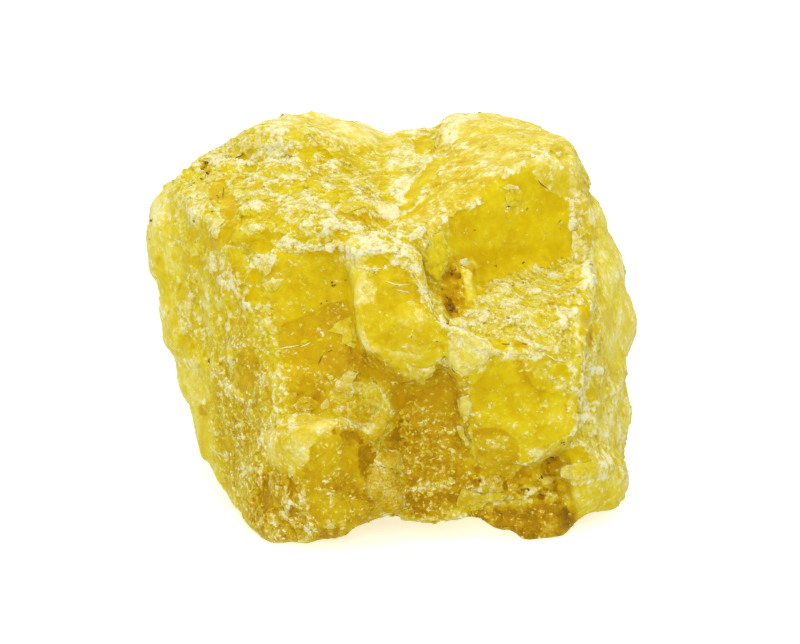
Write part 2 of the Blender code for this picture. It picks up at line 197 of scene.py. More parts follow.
# Named areas of the side that faces the camera: their outline in the view, how softly they end in
# millimetres, and what they are.
areas = {
    "leftSide": {
        "outline": [
            (-31, 43), (-25.5, 44.5), (-20.5, 35), (-15.2, 26.5), (-13.2, 17.5), (-13.2, -1), (-18, 0),
            (-25, 9), (-28, 21), (-31, 30),
        ],
        "soft": 1.5,
        "kind": dict(calm=0.35, veil=0.38, crust=0.25, grit=0.5, amberAndShade=0.05, speck=0.45, streak=0.8),
    },
    "leftBrown": {
        "outline": [
            (-20.5, 24.5), (-18.5, 26.5), (-16.5, 24), (-15.5, 21.5), (-14.2, 17.5), (-14.2, 12), (-16.5, 13.5),
            (-16.2, 9), (-14, 6), (-13, 2), (-16, 1), (-18.5, 5), (-20.8, 8.5), (-22, 12), (-22, 18.5),
        ],
        "soft": 1.5,
        "kind": dict(veil=0.12, crust=0.26, grit=0.8, amberAndShade=0.4, speck=0.9),
    },
    "leftRim": {
        "outline": [
            (-32, 44.5), (-28, 44.8), (-27.4, 42.5), (-26.8, 39.5), (-25.9, 36.5), (-26.6, 33), (-26.8, 29),
            (-26.2, 25.5), (-24.4, 23), (-24.2, 20.5), (-23, 19), (-23, 15), (-22.4, 11), (-21.2, 7.5), (-20, 5),
            (-26, 4), (-32, 30),
        ],
        "soft": 1.2,
        "kind": dict(calm=0.9, veil=0.7, crust=0.15, grit=0.1, amberAndShade=0.0, speck=0.1, streak=0.6),
    },
    "leftRoof": {
        "outline": [
            (-25.5, 47), (-18.8, 51), (-16, 53), (-11.2, 55), (-5, 54), (0.2, 52), (1.5, 49), (-0.5, 46.2),
            (0.8, 42.1), (-1.2, 39.2), (-5.6, 37), (-11.2, 40.4), (-16.5, 41.6), (-21.9, 43.4), (-25.5, 45),
        ],
        "soft": 1.0,
        "kind": dict(calm=0.1, veil=0.42, crust=0.47, grit=0.6, amberAndShade=0.0),
    },
    # partly milky sulfur, partly painted light through the thin rear edge
    "leftRoofBack": {
        "outline": [
            (-19, 51.5), (-16, 54), (-11.2, 56), (-5, 55), (0.4, 53), (1.5, 49.8), (-1, 48.4), (-4, 49.2),
            (-6.5, 50.4), (-10, 51.2), (-14, 51.6),
        ],
        "soft": 1.5,
        "kind": dict(calm=0.92, veil=0.94, crust=0.26, grit=0.12, amberAndShade=0.2, speck=0.1),
    },
    # painted shade: the pit is also made deeper amber
    "topLeftPit": {
        "outline": [
            (-22.6, 42.7), (-22.6, 44.4), (-21.6, 45.3), (-20.6, 45.2), (-20.3, 43.8), (-19.2, 43.2), (-18.6, 41.8),
            (-19.2, 40.6), (-20.6, 40.1), (-21.6, 40.8), (-21.2, 42.2),
        ],
        "soft": 0.45,
        "kind": dict(calm=0.95, veil=0.0, crust=0.0, grit=0.0, amberAndShade=0.3, speck=0.1, sunk=0.3),
    },
    # milky sulfur with painted sheen from the top light
    "roofMilkAndSheen": {
        "outline": [
            (1.9, 38.8), (4.2, 43), (6.2, 47), (8.2, 50.2), (10.8, 54), (16.2, 54), (21.5, 52), (25, 48),
            (19.4, 49), (17.5, 47), (14, 43.5), (7.5, 39.5), (3.8, 38),
        ],
        "soft": 0.8,
        "kind": dict(calm=0.85, veil=0.6, crust=0.2, grit=0.36, amberAndShade=0.35, speck=0.3, strata=0.8),
    },
    # milky sulfur with painted sheen and painted light through the thin rear edge
    "roofBackMilkAndSheen": {
        "outline": [
            (9.5, 46.6), (13, 46.4), (17, 49.2), (22, 50.2), (25, 48.5), (22, 53), (16.5, 55), (9, 55), (7.6, 52), (8.4, 49.5),
        ],
        "soft": 1.2,
        "kind": dict(calm=0.92, veil=0.8, crust=0.12, grit=0.2, amberAndShade=0.32, speck=0.1, strata=0.4),
    },
    # partly milky sulfur, partly painted light through the thin rear edge
    "farTop": {
        "outline": [
            (0.6, 51.2), (2.5, 54), (6, 55), (10.5, 55.5), (9.8, 52.6), (8.4, 50.8), (7.2, 49.4), (6.2, 50), (6, 52), (3.4, 51.6),
        ],
        "soft": 0.7,
        "kind": dict(calm=0.9, veil=1.0, crust=0.58, grit=0.1, amberAndShade=0.3, speck=0.0, strata=0.0),
    },
    "groove": {
        "outline": [
            (-0.2, 46.8), (1.2, 49), (3.2, 49.5), (5.2, 48.4), (4.4, 45.8), (2.2, 42.6), (1.2, 39.4), (0, 39.6), (-0.4, 43),
        ],
        "soft": 0.7,
        "kind": dict(calm=0.6, veil=0.8, crust=0.8, grit=0.1, amberAndShade=0.0),
    },
    "shelfTop": {
        "outline": [
            (7.8, 30.2), (11.2, 32), (16.8, 33.9), (22.8, 35.8), (25.2, 35), (24.8, 26.5), (23.4, 24.2),
            (16.2, 24), (11.2, 24.6), (8.1, 26.5),
        ],
        "soft": 0.6,
        "kind": dict(calm=0.05, veil=0.5, crust=0.4, grit=1.0, amberAndShade=0.0, speck=0.3),
    },
    "rightLobes": {
        "outline": [(24.2, 43.2), (26.8, 43.5), (32, 36), (33, 27.8), (31, 21), (26.5, 21.2), (25.8, 30.2), (25.2, 35)],
        "soft": 1.2,
        "kind": dict(calm=0.9, veil=0.68, crust=0.2, grit=0.12, amberAndShade=0.0, speck=0.1, streak=0.5),
    },
    "rightLow": {
        "outline": [
            (25.2, 21.2), (31, 21), (32.5, 14.8), (32, 9), (30.5, 4), (26.8, 3), (24.2, 3.8), (23.5, 9), (25.2, 12.8),
        ],
        "soft": 1.5,
        "kind": dict(calm=0.55, veil=0.66, crust=0.4, grit=0.35, amberAndShade=0.0, speck=0.2, streak=0.7),
    },
    "rightStripes": {
        "outline": [(22.8, 34), (23.4, 30), (22.6, 24), (22.6, 14), (24, 13.5), (26.6, 16), (26.2, 24), (26, 34.6)],
        "soft": 0.8,
        "kind": dict(calm=0.3, veil=0.55, crust=0.48, grit=0.4, amberAndShade=0.0, speck=0.2, streak=1.0),
    },
    "windowTop": {
        "outline": [(17.6, 46.9), (19.4, 48.2), (22.2, 48), (24, 46.8), (24.1, 43.2), (22, 43), (19.8, 44.1), (18.2, 45.8)],
        "soft": 0.1,
        "kind": dict(calm=0.9, veil=0.6, crust=0.12, grit=0.1, amberAndShade=0.0, speck=0.1, sunk=-0.15),
    },
    "rightWindow": {
        "outline": [
            (6.2, 39.6), (8, 40.6), (10, 41.8), (12, 42.6), (11.2, 43.6), (12.6, 44.6), (14.2, 45.4), (15.6, 46.2),
            (17, 46.9), (18, 46.8), (18.4, 45.5), (19.8, 44.1), (21.6, 43.1), (22.2, 41), (22.6, 38), (22.8, 35.6),
            (20.6, 35), (16.8, 33.9), (12.4, 32.5), (11, 31.4), (9.2, 31), (7.8, 33.8), (7.4, 37), (7.6, 39.2),
        ],
        "soft": 0.2,
        "kind": dict(calm=1.0, veil=0.0, crust=0.0, grit=0.04, amberAndShade=0.05, speck=0.1, sunk=0.08),
    },
    # painted shade: the hollow pocket is made deep amber
    "pocket": {
        "outline": [(6, 32.6), (7.2, 34.8), (7.8, 36.2), (9.8, 33.2), (10, 29.5), (7.8, 27.5), (6.4, 28), (6, 30.5)],
        "soft": 0.5,
        "kind": dict(calm=0.6, veil=0.0, crust=0.02, grit=0.15, amberAndShade=0.55, speck=0.1),
    },
    "leftWindow": {
        "outline": [
            (-14.2, 36), (-12, 36.1), (-8.3, 36), (-4.6, 35.2), (-4, 32), (-4.2, 30.5), (-3.6, 28.6), (-3, 26.6),
            (-3, 23.8), (-5.2, 21.6), (-7, 19.4), (-7.4, 17), (-9.8, 16.2), (-12.6, 16.6), (-13, 18.6), (-13.2, 22),
            (-14, 24.2), (-15, 24.8), (-14, 26.2), (-14, 28), (-14.6, 30.5), (-15.2, 33.2),
        ],
        "soft": 0.4,
        "kind": dict(calm=0.96, veil=0.0, crust=0.07, grit=0.08, amberAndShade=0.11, speck=0.2),
    },
    # painted shade: the shaded lower part of the window left of the nose is made deep amber
    "windowLow": {
        "outline": [
            (-14.2, 26.4), (-10, 28), (-7, 27), (-4.6, 25), (-4.4, 23.4), (-5.4, 21.6), (-7.4, 19.2), (-7.8, 17.4),
            (-10, 16.2), (-12.6, 16.6), (-13, 19), (-13.4, 22.5),
        ],
        "soft": 1.5,
        "kind": dict(calm=0.85, crust=0.04, amberAndShade=0.76, speck=0.35),
    },
    "noseCap": {
        "outline": [(-5.6, 38.2), (-2.2, 38.8), (1.9, 38), (3.4, 35.2), (2.4, 34), (0.2, 34.4), (-2.2, 33.8), (-4.8, 34), (-5.6, 36)],
        "soft": 0.5,
        "kind": dict(calm=0.5, veil=0.6, crust=0.5, grit=0.15, amberAndShade=0.0),
    },
    "noseFace": {
        "outline": [
            (-5.4, 34), (-2.2, 33.6), (0.6, 34.2), (2.6, 33), (4.4, 30), (6.2, 27), (7, 24.5), (6.4, 21.4), (3.5, 19),
            (1.3, 20.6), (-1.6, 22.1), (-4, 23.8), (-5, 27.2), (-5.6, 30),
        ],
        "soft": 0.4,
        "kind": dict(calm=0.9, veil=0.16, crust=0.0, grit=0.15, amberAndShade=0.18, speck=0.2),
    },
    "noseRidge": {
        "outline": [(1.2, 38.2), (2.8, 37.6), (4.4, 34.6), (6, 31.6), (7, 28), (7.1, 26.2), (6, 27.4), (4.4, 30.4), (2.8, 33.4), (1.6, 35)],
        "soft": 0.4,
        "kind": dict(calm=0.2, veil=0.44, crust=0.36, grit=0.3, amberAndShade=0.02),
    },
    "shelfFace": {
        "outline": [
            (10, 21), (12.5, 22.9), (15.6, 22.8), (18, 20.6), (21.8, 19.6), (22.6, 15.2), (22.2, 13.2), (19.4, 11),
            (16, 9), (12.5, 9.6), (10.4, 11.6), (9.8, 15), (10, 18.6),
        ],
        "soft": 0.5,
        "kind": dict(calm=0.92, veil=0.04, crust=0.06, grit=0.12, amberAndShade=0.08, speck=0.35),
    },
    "shelfBand": {
        "outline": [(12.5, 24), (16.2, 24.5), (21.2, 23.8), (23.5, 23.8), (23.2, 18.8), (22, 19.2), (18.8, 20.4), (15.6, 22.5)],
        "soft": 0.6,
        "kind": dict(calm=0.6, veil=0.4, crust=0.42, grit=0.2, amberAndShade=0.0),
    },
    # painted shade: the recess under the nose is made deep amber
    "recess": {
        "outline": [
            (-4.8, 22.6), (-2.6, 23.9), (-0.4, 22.8), (1.2, 21.6), (3.8, 19.6), (6.2, 21.4), (8.4, 20.8), (10, 19.6),
            (9.8, 12), (11.2, 9.6), (10.8, 7.4), (8.4, 4.6), (6.2, 3.4), (1.9, 3.2), (1.6, 7.8), (-0.5, 10.8),
            (0.2, 14), (0.2, 17.8), (-1, 20.2), (-3.6, 20.6),
        ],
        "soft": 0.5,
        "kind": dict(calm=0.6, veil=0.0, crust=0.07, grit=0.4, amberAndShade=0.66, speck=0.75),
    },
    # painted shade: the shadow under the nose is made deep amber
    "recessTop": {
        "outline": [(-4.8, 22.6), (-2.6, 23.9), (-0.4, 22.8), (1.2, 21.6), (3.8, 19.6), (6.2, 21.4), (9, 20.2), (8, 17), (2, 16), (-1, 19.4), (-3.6, 20.4)],
        "soft": 1.0,
        "kind": dict(calm=0.8, crust=0.08, amberAndShade=0.58, speck=0.35),
    },
    # painted shade: the shadow under the shelf is made deep amber
    "underShelf": {
        "outline": [(13.8, 9), (17.5, 8.8), (21.2, 10), (24, 9), (24.2, 5.2), (21.2, 4.5), (16.2, 5.2), (14.2, 7)],
        "soft": 1.0,
        "kind": dict(calm=0.5, veil=0.12, crust=0.22, grit=0.4, amberAndShade=0.63),
    },
    "heel": {
        "outline": [(21.4, 9.9), (25.2, 9.9), (26.8, 8.2), (30.5, 7), (31.5, 5), (27, 3), (23.4, 3), (22.2, 4.6), (21, 5.6)],
        "soft": 0.6,
        "kind": dict(calm=0.85, veil=0.46, crust=0.14, grit=0.15, amberAndShade=0.04, speck=0.2),
    },
    # painted shade: the foot that faces down under the overhang is made deep amber
    "rightFoot": {
        "outline": [(9.8, 3.9), (16.2, 4.6), (19, 5.2), (21.6, 5.2), (23.2, 3.6), (22, -1), (17.5, -1), (13.8, 1), (9.6, 2.6)],
        "soft": 0.7,
        "kind": dict(calm=0.85, veil=0.1, crust=0.02, grit=0.25, amberAndShade=0.96, speck=0.2),
    },
    "footTop": {
        "outline": [
            (-15.8, 13.6), (-13.6, 14.4), (-13.4, 15.4), (-10, 15.9), (-7, 15.2), (-8.5, 13), (-10, 11.8),
            (-10.2, 9.6), (-10.8, 8), (-12.5, 8.6), (-15.6, 10.8),
        ],
        "soft": 0.3,
        "kind": dict(calm=0.8, veil=0.36, crust=0.1, grit=0.2, amberAndShade=0.08, speck=0.25, streak=0.0),
    },
    # painted shade: the low front face is made deep amber
    "footFront": {
        "outline": [
            (-10.6, 9.5), (-9.8, 11.8), (-8.4, 13), (-6.5, 14.6), (-4.6, 14), (-3.6, 12.6), (-4, 8), (-2, 6),
            (-1.6, 3), (-3, 0), (-9.8, -0.5), (-10, 5),
        ],
        "soft": 0.5,
        "kind": dict(calm=0.7, veil=0.06, crust=0.1, grit=0.3, amberAndShade=0.59, speck=0.45, streak=0.0),
    },
    # painted shade: the low side in shade is made deep amber
    "footSide": {
        "outline": [(-16, 9), (-12.6, 8.6), (-11, 6.6), (-10.2, 3), (-10.6, -0.6), (-15.4, -1), (-17.4, 2), (-18.6, 5.4), (-16.6, 8)],
        "soft": 0.8,
        "kind": dict(calm=0.3, veil=0.26, crust=0.22, grit=0.6, amberAndShade=0.65, speck=0.45, streak=0.8),
    },
    "leftEdge": {
        "outline": [
            (-22, 37), (-20.6, 36.6), (-18.4, 31.6), (-16.0, 28.6), (-14.4, 26.2), (-12.9, 21.4), (-12.9, 17.8),
            (-13.6, 15.6), (-15.8, 16), (-15.6, 21), (-16.8, 25.2), (-19.2, 29.8), (-22.2, 33.6),
        ],
        "soft": 0.9,
        "kind": dict(calm=0.15, veil=0.42, crust=0.28, grit=0.45, amberAndShade=0.17, speck=0.45, streak=0.9),
    },
    # painted shade: the hole is also made deeper amber
    "brownHole": {
        "outline": [(-4.0, 12.4), (-2.4, 12), (-1.9, 10.6), (-2.2, 9.4), (-3.2, 7.9), (-4.1, 8.2)],
        "soft": 0.2,
        "kind": dict(calm=0.5, veil=0.0, crust=0.0, grit=0.3, amberAndShade=0.7, speck=0.1, sunk=0.2),
    },
    # painted shade: the hole is also made deeper amber
    "darkHole": {
        "outline": [(19.3, 9.2), (20.2, 9.7), (20.9, 10.2), (21.4, 9.7), (20.9, 9.2), (20, 8.8)],
        "soft": 0.2,
        "kind": dict(calm=0.5, veil=0.1, crust=0.0, grit=0.3, amberAndShade=0.42, speck=0.0, sunk=0.1),
    },
}


# Single faces with crisp borders: their outlines in the view, and what they are.
facets = {
    "gold": {
        "kind": dict(calm=0.9, veil=0.04, crust=0.0, grit=0.12, amberAndShade=0.06, speck=0.2, sunk=0.1),
        "outlines": [
            # nose
            [(0.0, 33.4), (0.8, 34.2), (1.6, 34.0), (2.3, 33.4), (2.4, 32.2), (0.2, 32.2), (-0.2, 32.8)],
            [(-1.2, 31.6), (0.4, 31.9), (2.4, 32.0), (2.8, 31.2), (2.2, 30.0), (-1.2, 29.6), (-1.8, 30.2)],
            [(-2.6, 35.6), (-0.6, 35.6), (0.2, 34.9), (-0.6, 34.4), (-2.4, 34.2), (-3.2, 34.8)],
            # left roof
            [(-22.6, 37.0), (-21.4, 38.2), (-20.4, 39.4), (-19.4, 39.0), (-20.8, 37.0), (-21.6, 36.4)],
            [(-17.6, 37.6), (-16.0, 38.0), (-14.4, 37.0), (-15.6, 36.0), (-17.6, 36.2)],
            [(-19.8, 36.4), (-18.6, 36.6), (-18.4, 35.2), (-19.8, 34.6)], [(-17.8, 34.4), (-16.6, 34.0), (-16.2, 32.8), (-17.2, 32.6)],
            [(-17.6, 31.8), (-16.4, 31.6), (-16.4, 30.6), (-17.6, 30.4)], [(-24.8, 35.6), (-23.6, 36.0), (-23.6, 34.8), (-24.6, 34.4)],
            # right block
            [(3.1, 50.4), (5.0, 50.8), (5.2, 49.6), (4.0, 48.5), (3.2, 48.8)],
            [(5.4, 47.8), (4.2, 46.6), (3.2, 45.4), (1.6, 43.2), (2.4, 43.0), (4.4, 44.6), (5.8, 46.0), (6.4, 47.6)],
            [(1.0, 41.8), (2.6, 42.8), (1.6, 41.2)], [(4.6, 43.0), (6.4, 44.2), (5.6, 43.0), (3.4, 41.6), (1.0, 39.9), (1.4, 40.6), (2.6, 41.2)],
            [(24.4, 39.6), (26.0, 39.4), (26.0, 37.6), (24.6, 37.8)], [(24.0, 42.4), (25.6, 43.0), (25.4, 41.8), (24.2, 41.2)],
            # shelf
            [
                (12.6, 22.6), (15.2, 22.4), (16.6, 20.6), (18.0, 19.0), (21.4, 18.4), (22.0, 17.0), (20.4, 15.4),
                (16.0, 15.0), (13.0, 16.2), (10.2, 16.4), (10.0, 18.8), (11.8, 21.2),
            ],
            [(20.8, 22.2), (22.2, 22.0), (22.4, 20.6), (21.0, 20.8)], [(12.7, 24.4), (13.0, 25.0), (15.2, 25.2), (14.6, 24.2), (13.0, 24.0)],
            [(24.0, 30.6), (24.8, 30.6), (25.2, 28.0), (24.4, 25.8), (23.7, 26.2), (23.9, 28.6)],
            [(26.6, 28.6), (27.2, 29.2), (27.6, 27.6), (27.2, 26.2), (26.7, 27.0)],
            [(21.2, 11.2), (23.4, 12.0), (24.2, 11.8), (25.0, 10.2), (21.6, 10.2)],
        ],
    },
    # painted shade: darker gold faces on the shaded lower parts, such as below the shade boundary of the window left of
    # the nose
    "deepGold": {
        "kind": dict(calm=0.85, veil=0.0, crust=0.0, grit=0.15, amberAndShade=0.36, speck=0.35, sunk=0.1),
        "outlines": [
            [
                (-13.6, 27.2), (-10.0, 28.6), (-7.5, 29.9), (-5.3, 30.3), (-4.8, 28.4), (-6.4, 27.6), (-7.2, 26.3),
                (-6.0, 26.0), (-5.8, 24.6), (-5.0, 24.0), (-5.6, 22.4), (-7.0, 20.4), (-9.8, 21.4), (-10.4, 23.8),
                (-13.8, 24.0), (-14.0, 25.6),
            ],
            [
                (-10.0, 12.0), (-9.4, 12.4), (-7.4, 13.4), (-5.8, 13.6), (-6.4, 12.2), (-6.6, 10.0), (-8.0, 8.4),
                (-9.6, 6.8), (-10.2, 8.4), (-10.9, 9.4),
            ],
            [(-5.6, 12.2), (-4.2, 11.8), (-3.9, 9.0), (-4.0, 8.0), (-5.0, 8.2), (-6.4, 9.6)],
            [(-10.0, 5.6), (-8.4, 6.2), (-5.4, 5.2), (-4.8, 3.4), (-6.4, 2.8), (-9.8, 3.4)],
            [(-20.0, 28.0), (-18.2, 28.0), (-18.0, 27.2), (-19.8, 27.0)],
            [(-17.8, 24.2), (-16.8, 24.2), (-17.0, 22.4), (-17.8, 22.4)], [(-24.0, 17.0), (-22.8, 17.4), (-22.8, 15.8), (-23.8, 15.8)],
            [(24.4, 26.0), (25.3, 26.6), (25.2, 24.4), (24.6, 24.2)], 
            [(15.1, 25.2), (16.6, 25.0), (17.8, 24.9), (17.0, 24.4), (15.4, 24.4)], [(20.7, 30.0), (21.8, 29.8), (23.7, 29.7), (23.7, 29.4), (21.0, 29.5)],
            [(15.2, 22.6), (16.8, 22.8), (16.8, 21.4), (18.0, 19.4), (19.6, 18.9), (18.6, 18.6), (16.6, 20.2)],
            [(10.2, 14.0), (11.6, 14.2), (14.0, 14.2), (16.0, 12.6), (16.2, 10.2), (14.8, 9.4), (12.2, 8.8), (10.6, 11.4)],
        ],
    },
    # painted shade: amber faces in the shaded lower window, the pocket, the recess and under the shelf
    "amberAndShade": {
        "kind": dict(calm=0.8, veil=0.0, crust=0.0, grit=0.2, amberAndShade=0.42, speck=0.4, sunk=0.1),
        "outlines": [
            [(-14.0, 23.8), (-10.2, 23.8), (-9.2, 22.2), (-9.8, 21.4), (-7.4, 20.2), (-9.8, 18.8), (-13.0, 18.6), (-13.2, 22.0)],
            [(-6.0, 14.6), (-4.0, 14.0), (-2.8, 13.4), (-2.4, 12.2), (-4.2, 11.8), (-6.0, 12.6), (-7.4, 13.8)],
            [(-18.8, 20.8), (-16.8, 20.8), (-16.6, 19.6), (-17.8, 18.6), (-18.8, 19.2)],
            [(5.9, 32.4), (6.8, 33.6), (7.4, 35.8), (8.2, 35.8), (8.6, 34.6), (8.6, 32.0), (7.8, 31.0), (6.4, 31.4)],
            [(15.4, 8.2), (16.8, 9.6), (18.2, 10.1), (19.2, 9.8), (19.2, 8.8), (18.4, 8.2), (17.8, 7.2), (15.6, 7.2)],
            [(9.0, 10.0), (10.2, 11.0), (11.4, 9.4), (12.0, 8.2), (10.0, 8.6)],
        ],
    },
    "lemon": {
        "kind": dict(calm=0.9, veil=0.36, crust=0.0, grit=0.15, amberAndShade=0.03, speck=0.15, sunk=-0.05),
        "outlines": [
            # nose
            [(-5.0, 34.0), (-2.6, 34.0), (-2.6, 33.0), (-1.6, 31.8), (-2.0, 30.0), (-4.8, 29.6), (-5.2, 31.6)],
            [
                (-4.6, 28.6), (-4.0, 28.4), (-3.4, 26.0), (-2.0, 24.9), (0.4, 23.9), (3.0, 23.4), (6.2, 24.4), (6.6, 23.0),
                (5.0, 22.0), (1.8, 21.6), (0.2, 22.2), (-1.6, 23.6), (-3.2, 24.4), (-4.0, 26.0),
            ],
            [(8.6, 35.0), (10.0, 35.2), (10.8, 33.0), (10.9, 30.6), (9.6, 30.0), (9.2, 32.4)],
            [(10.2, 35.8), (11.0, 34.6), (11.2, 32.4), (11.9, 31.0), (11.0, 31.0), (10.8, 33.2), (10.0, 35.0)],
            # shelf
            [(7.2, 25.6), (10.4, 24.5), (12.0, 24.0), (12.4, 22.6), (10.2, 22.2), (9.8, 20.8), (8.8, 20.6), (7.8, 21.8), (6.9, 23.4), (6.8, 24.8)],
            [(22.4, 18.4), (23.6, 18.8), (23.2, 14.6), (22.2, 13.6), (21.4, 13.2), (22.2, 15.2)],
            # left side
            [(-25.2, 20.4), (-22.8, 20.6), (-22.8, 19.2), (-23.6, 17.2), (-24.4, 16.4), (-24.8, 18.0)],
            [(-24.0, 14.6), (-22.4, 14.4), (-22.2, 11.4), (-23.4, 9.8), (-23.8, 12.0)], [(-24.6, 23.6), (-23.2, 23.0), (-23.2, 22.2), (-24.6, 22.4)],
            [(-20.4, 24.6), (-19.6, 24.2), (-19.6, 23.0), (-20.4, 22.4)],
            [(-19.4, 21.2), (-18.8, 20.8), (-19.2, 19.4), (-18.4, 18.4), (-17.8, 17.6), (-19.0, 17.8), (-19.8, 19.4)],
        ],
    },
    "milk": {
        "kind": dict(calm=0.85, veil=0.64, crust=0.08, grit=0.2, amberAndShade=0.2, speck=0.2, sunk=-0.05),
        "outlines": [
            # window's corner
            [
                (18.2, 48.0), (19.0, 48.4), (22.2, 48.4), (23.4, 48.0), (24.2, 46.0), (24.2, 44.4), (23.2, 43.4),
                (22.2, 43.0), (20.8, 43.4), (19.6, 44.0), (18.4, 45.2), (18.1, 46.2),
            ],
            # foot
            [
                (-16.2, 13.6), (-14.0, 14.2), (-13.4, 15.2), (-12.0, 15.6), (-10.0, 15.9), (-7.2, 15.3), (-8.2, 13.8),
                (-9.2, 12.9), (-10.0, 12.0), (-10.0, 10.2), (-10.8, 9.6), (-11.6, 8.4), (-12.6, 9.2), (-14.4, 9.4), (-15.8, 10.6),
            ],
        ],
    },
    "tan": {
        "kind": dict(calm=0.6, veil=0.5, crust=0.14, grit=0.2, amberAndShade=0.4, speck=0.1, sunk=-0.08),
        "outlines": [
            [
                (16.8, 11.2), (19.2, 12.0), (21.6, 12.4), (23.2, 13.8), (23.8, 13.8), (22.6, 12.6), (21.4, 11.2), (20.4, 10.5),
                (18.4, 10.4), (17.2, 10.4),
            ],
            [(18.6, 8.2), (21.0, 8.2), (20.2, 7.4), (19.0, 7.2)], [(16.4, 7.2), (19.0, 6.8), (19.4, 6.0), (17.4, 5.9)],
        ],
    },
    "white": {
        "kind": dict(calm=0.3, veil=0.6, crust=0.85, grit=0.2, amberAndShade=0.0, sunk=-0.12),
        "outlines": [
            [(7.6, 27.2), (9.0, 26.6), (12.2, 25.4), (13.8, 23.6), (13.2, 23.3), (10.4, 24.5), (8.2, 25.1), (7.2, 25.8)],
            [(0.2, 44.4), (1.4, 46.4), (3.2, 48.0), (5.4, 47.8), (4.2, 46.6), (3.0, 45.0), (1.6, 43.0), (0.4, 41.4), (-0.4, 42.2)],
            [(2.5, 37.7), (3.6, 38.0), (4.6, 38.8), (4.3, 39.4), (3.4, 39.3), (2.4, 38.4)],
            [(20.6, 29.2), (23.4, 29.4), (23.4, 28.6), (22.0, 27.6), (22.3, 26.9), (21.4, 26.3), (20.9, 27.0), (21.2, 28.0)],
            [(24.2, 35.0), (25.4, 35.6), (25.6, 33.0), (25.2, 31.4), (24.2, 31.8)], [(25.6, 21.8), (27.0, 22.0), (26.8, 21.2), (25.8, 21.2)],
            [(-2.2, 42.4), (0.9, 42.7), (1.2, 41.0), (0.2, 39.9), (-1.4, 41.0)],
            [(-4.8, 36.6), (-2.6, 37.4), (0.6, 37.2), (1.0, 36.2), (-1.2, 36.0), (-3.4, 35.8), (-4.8, 36.0)],
        ],
    },
}

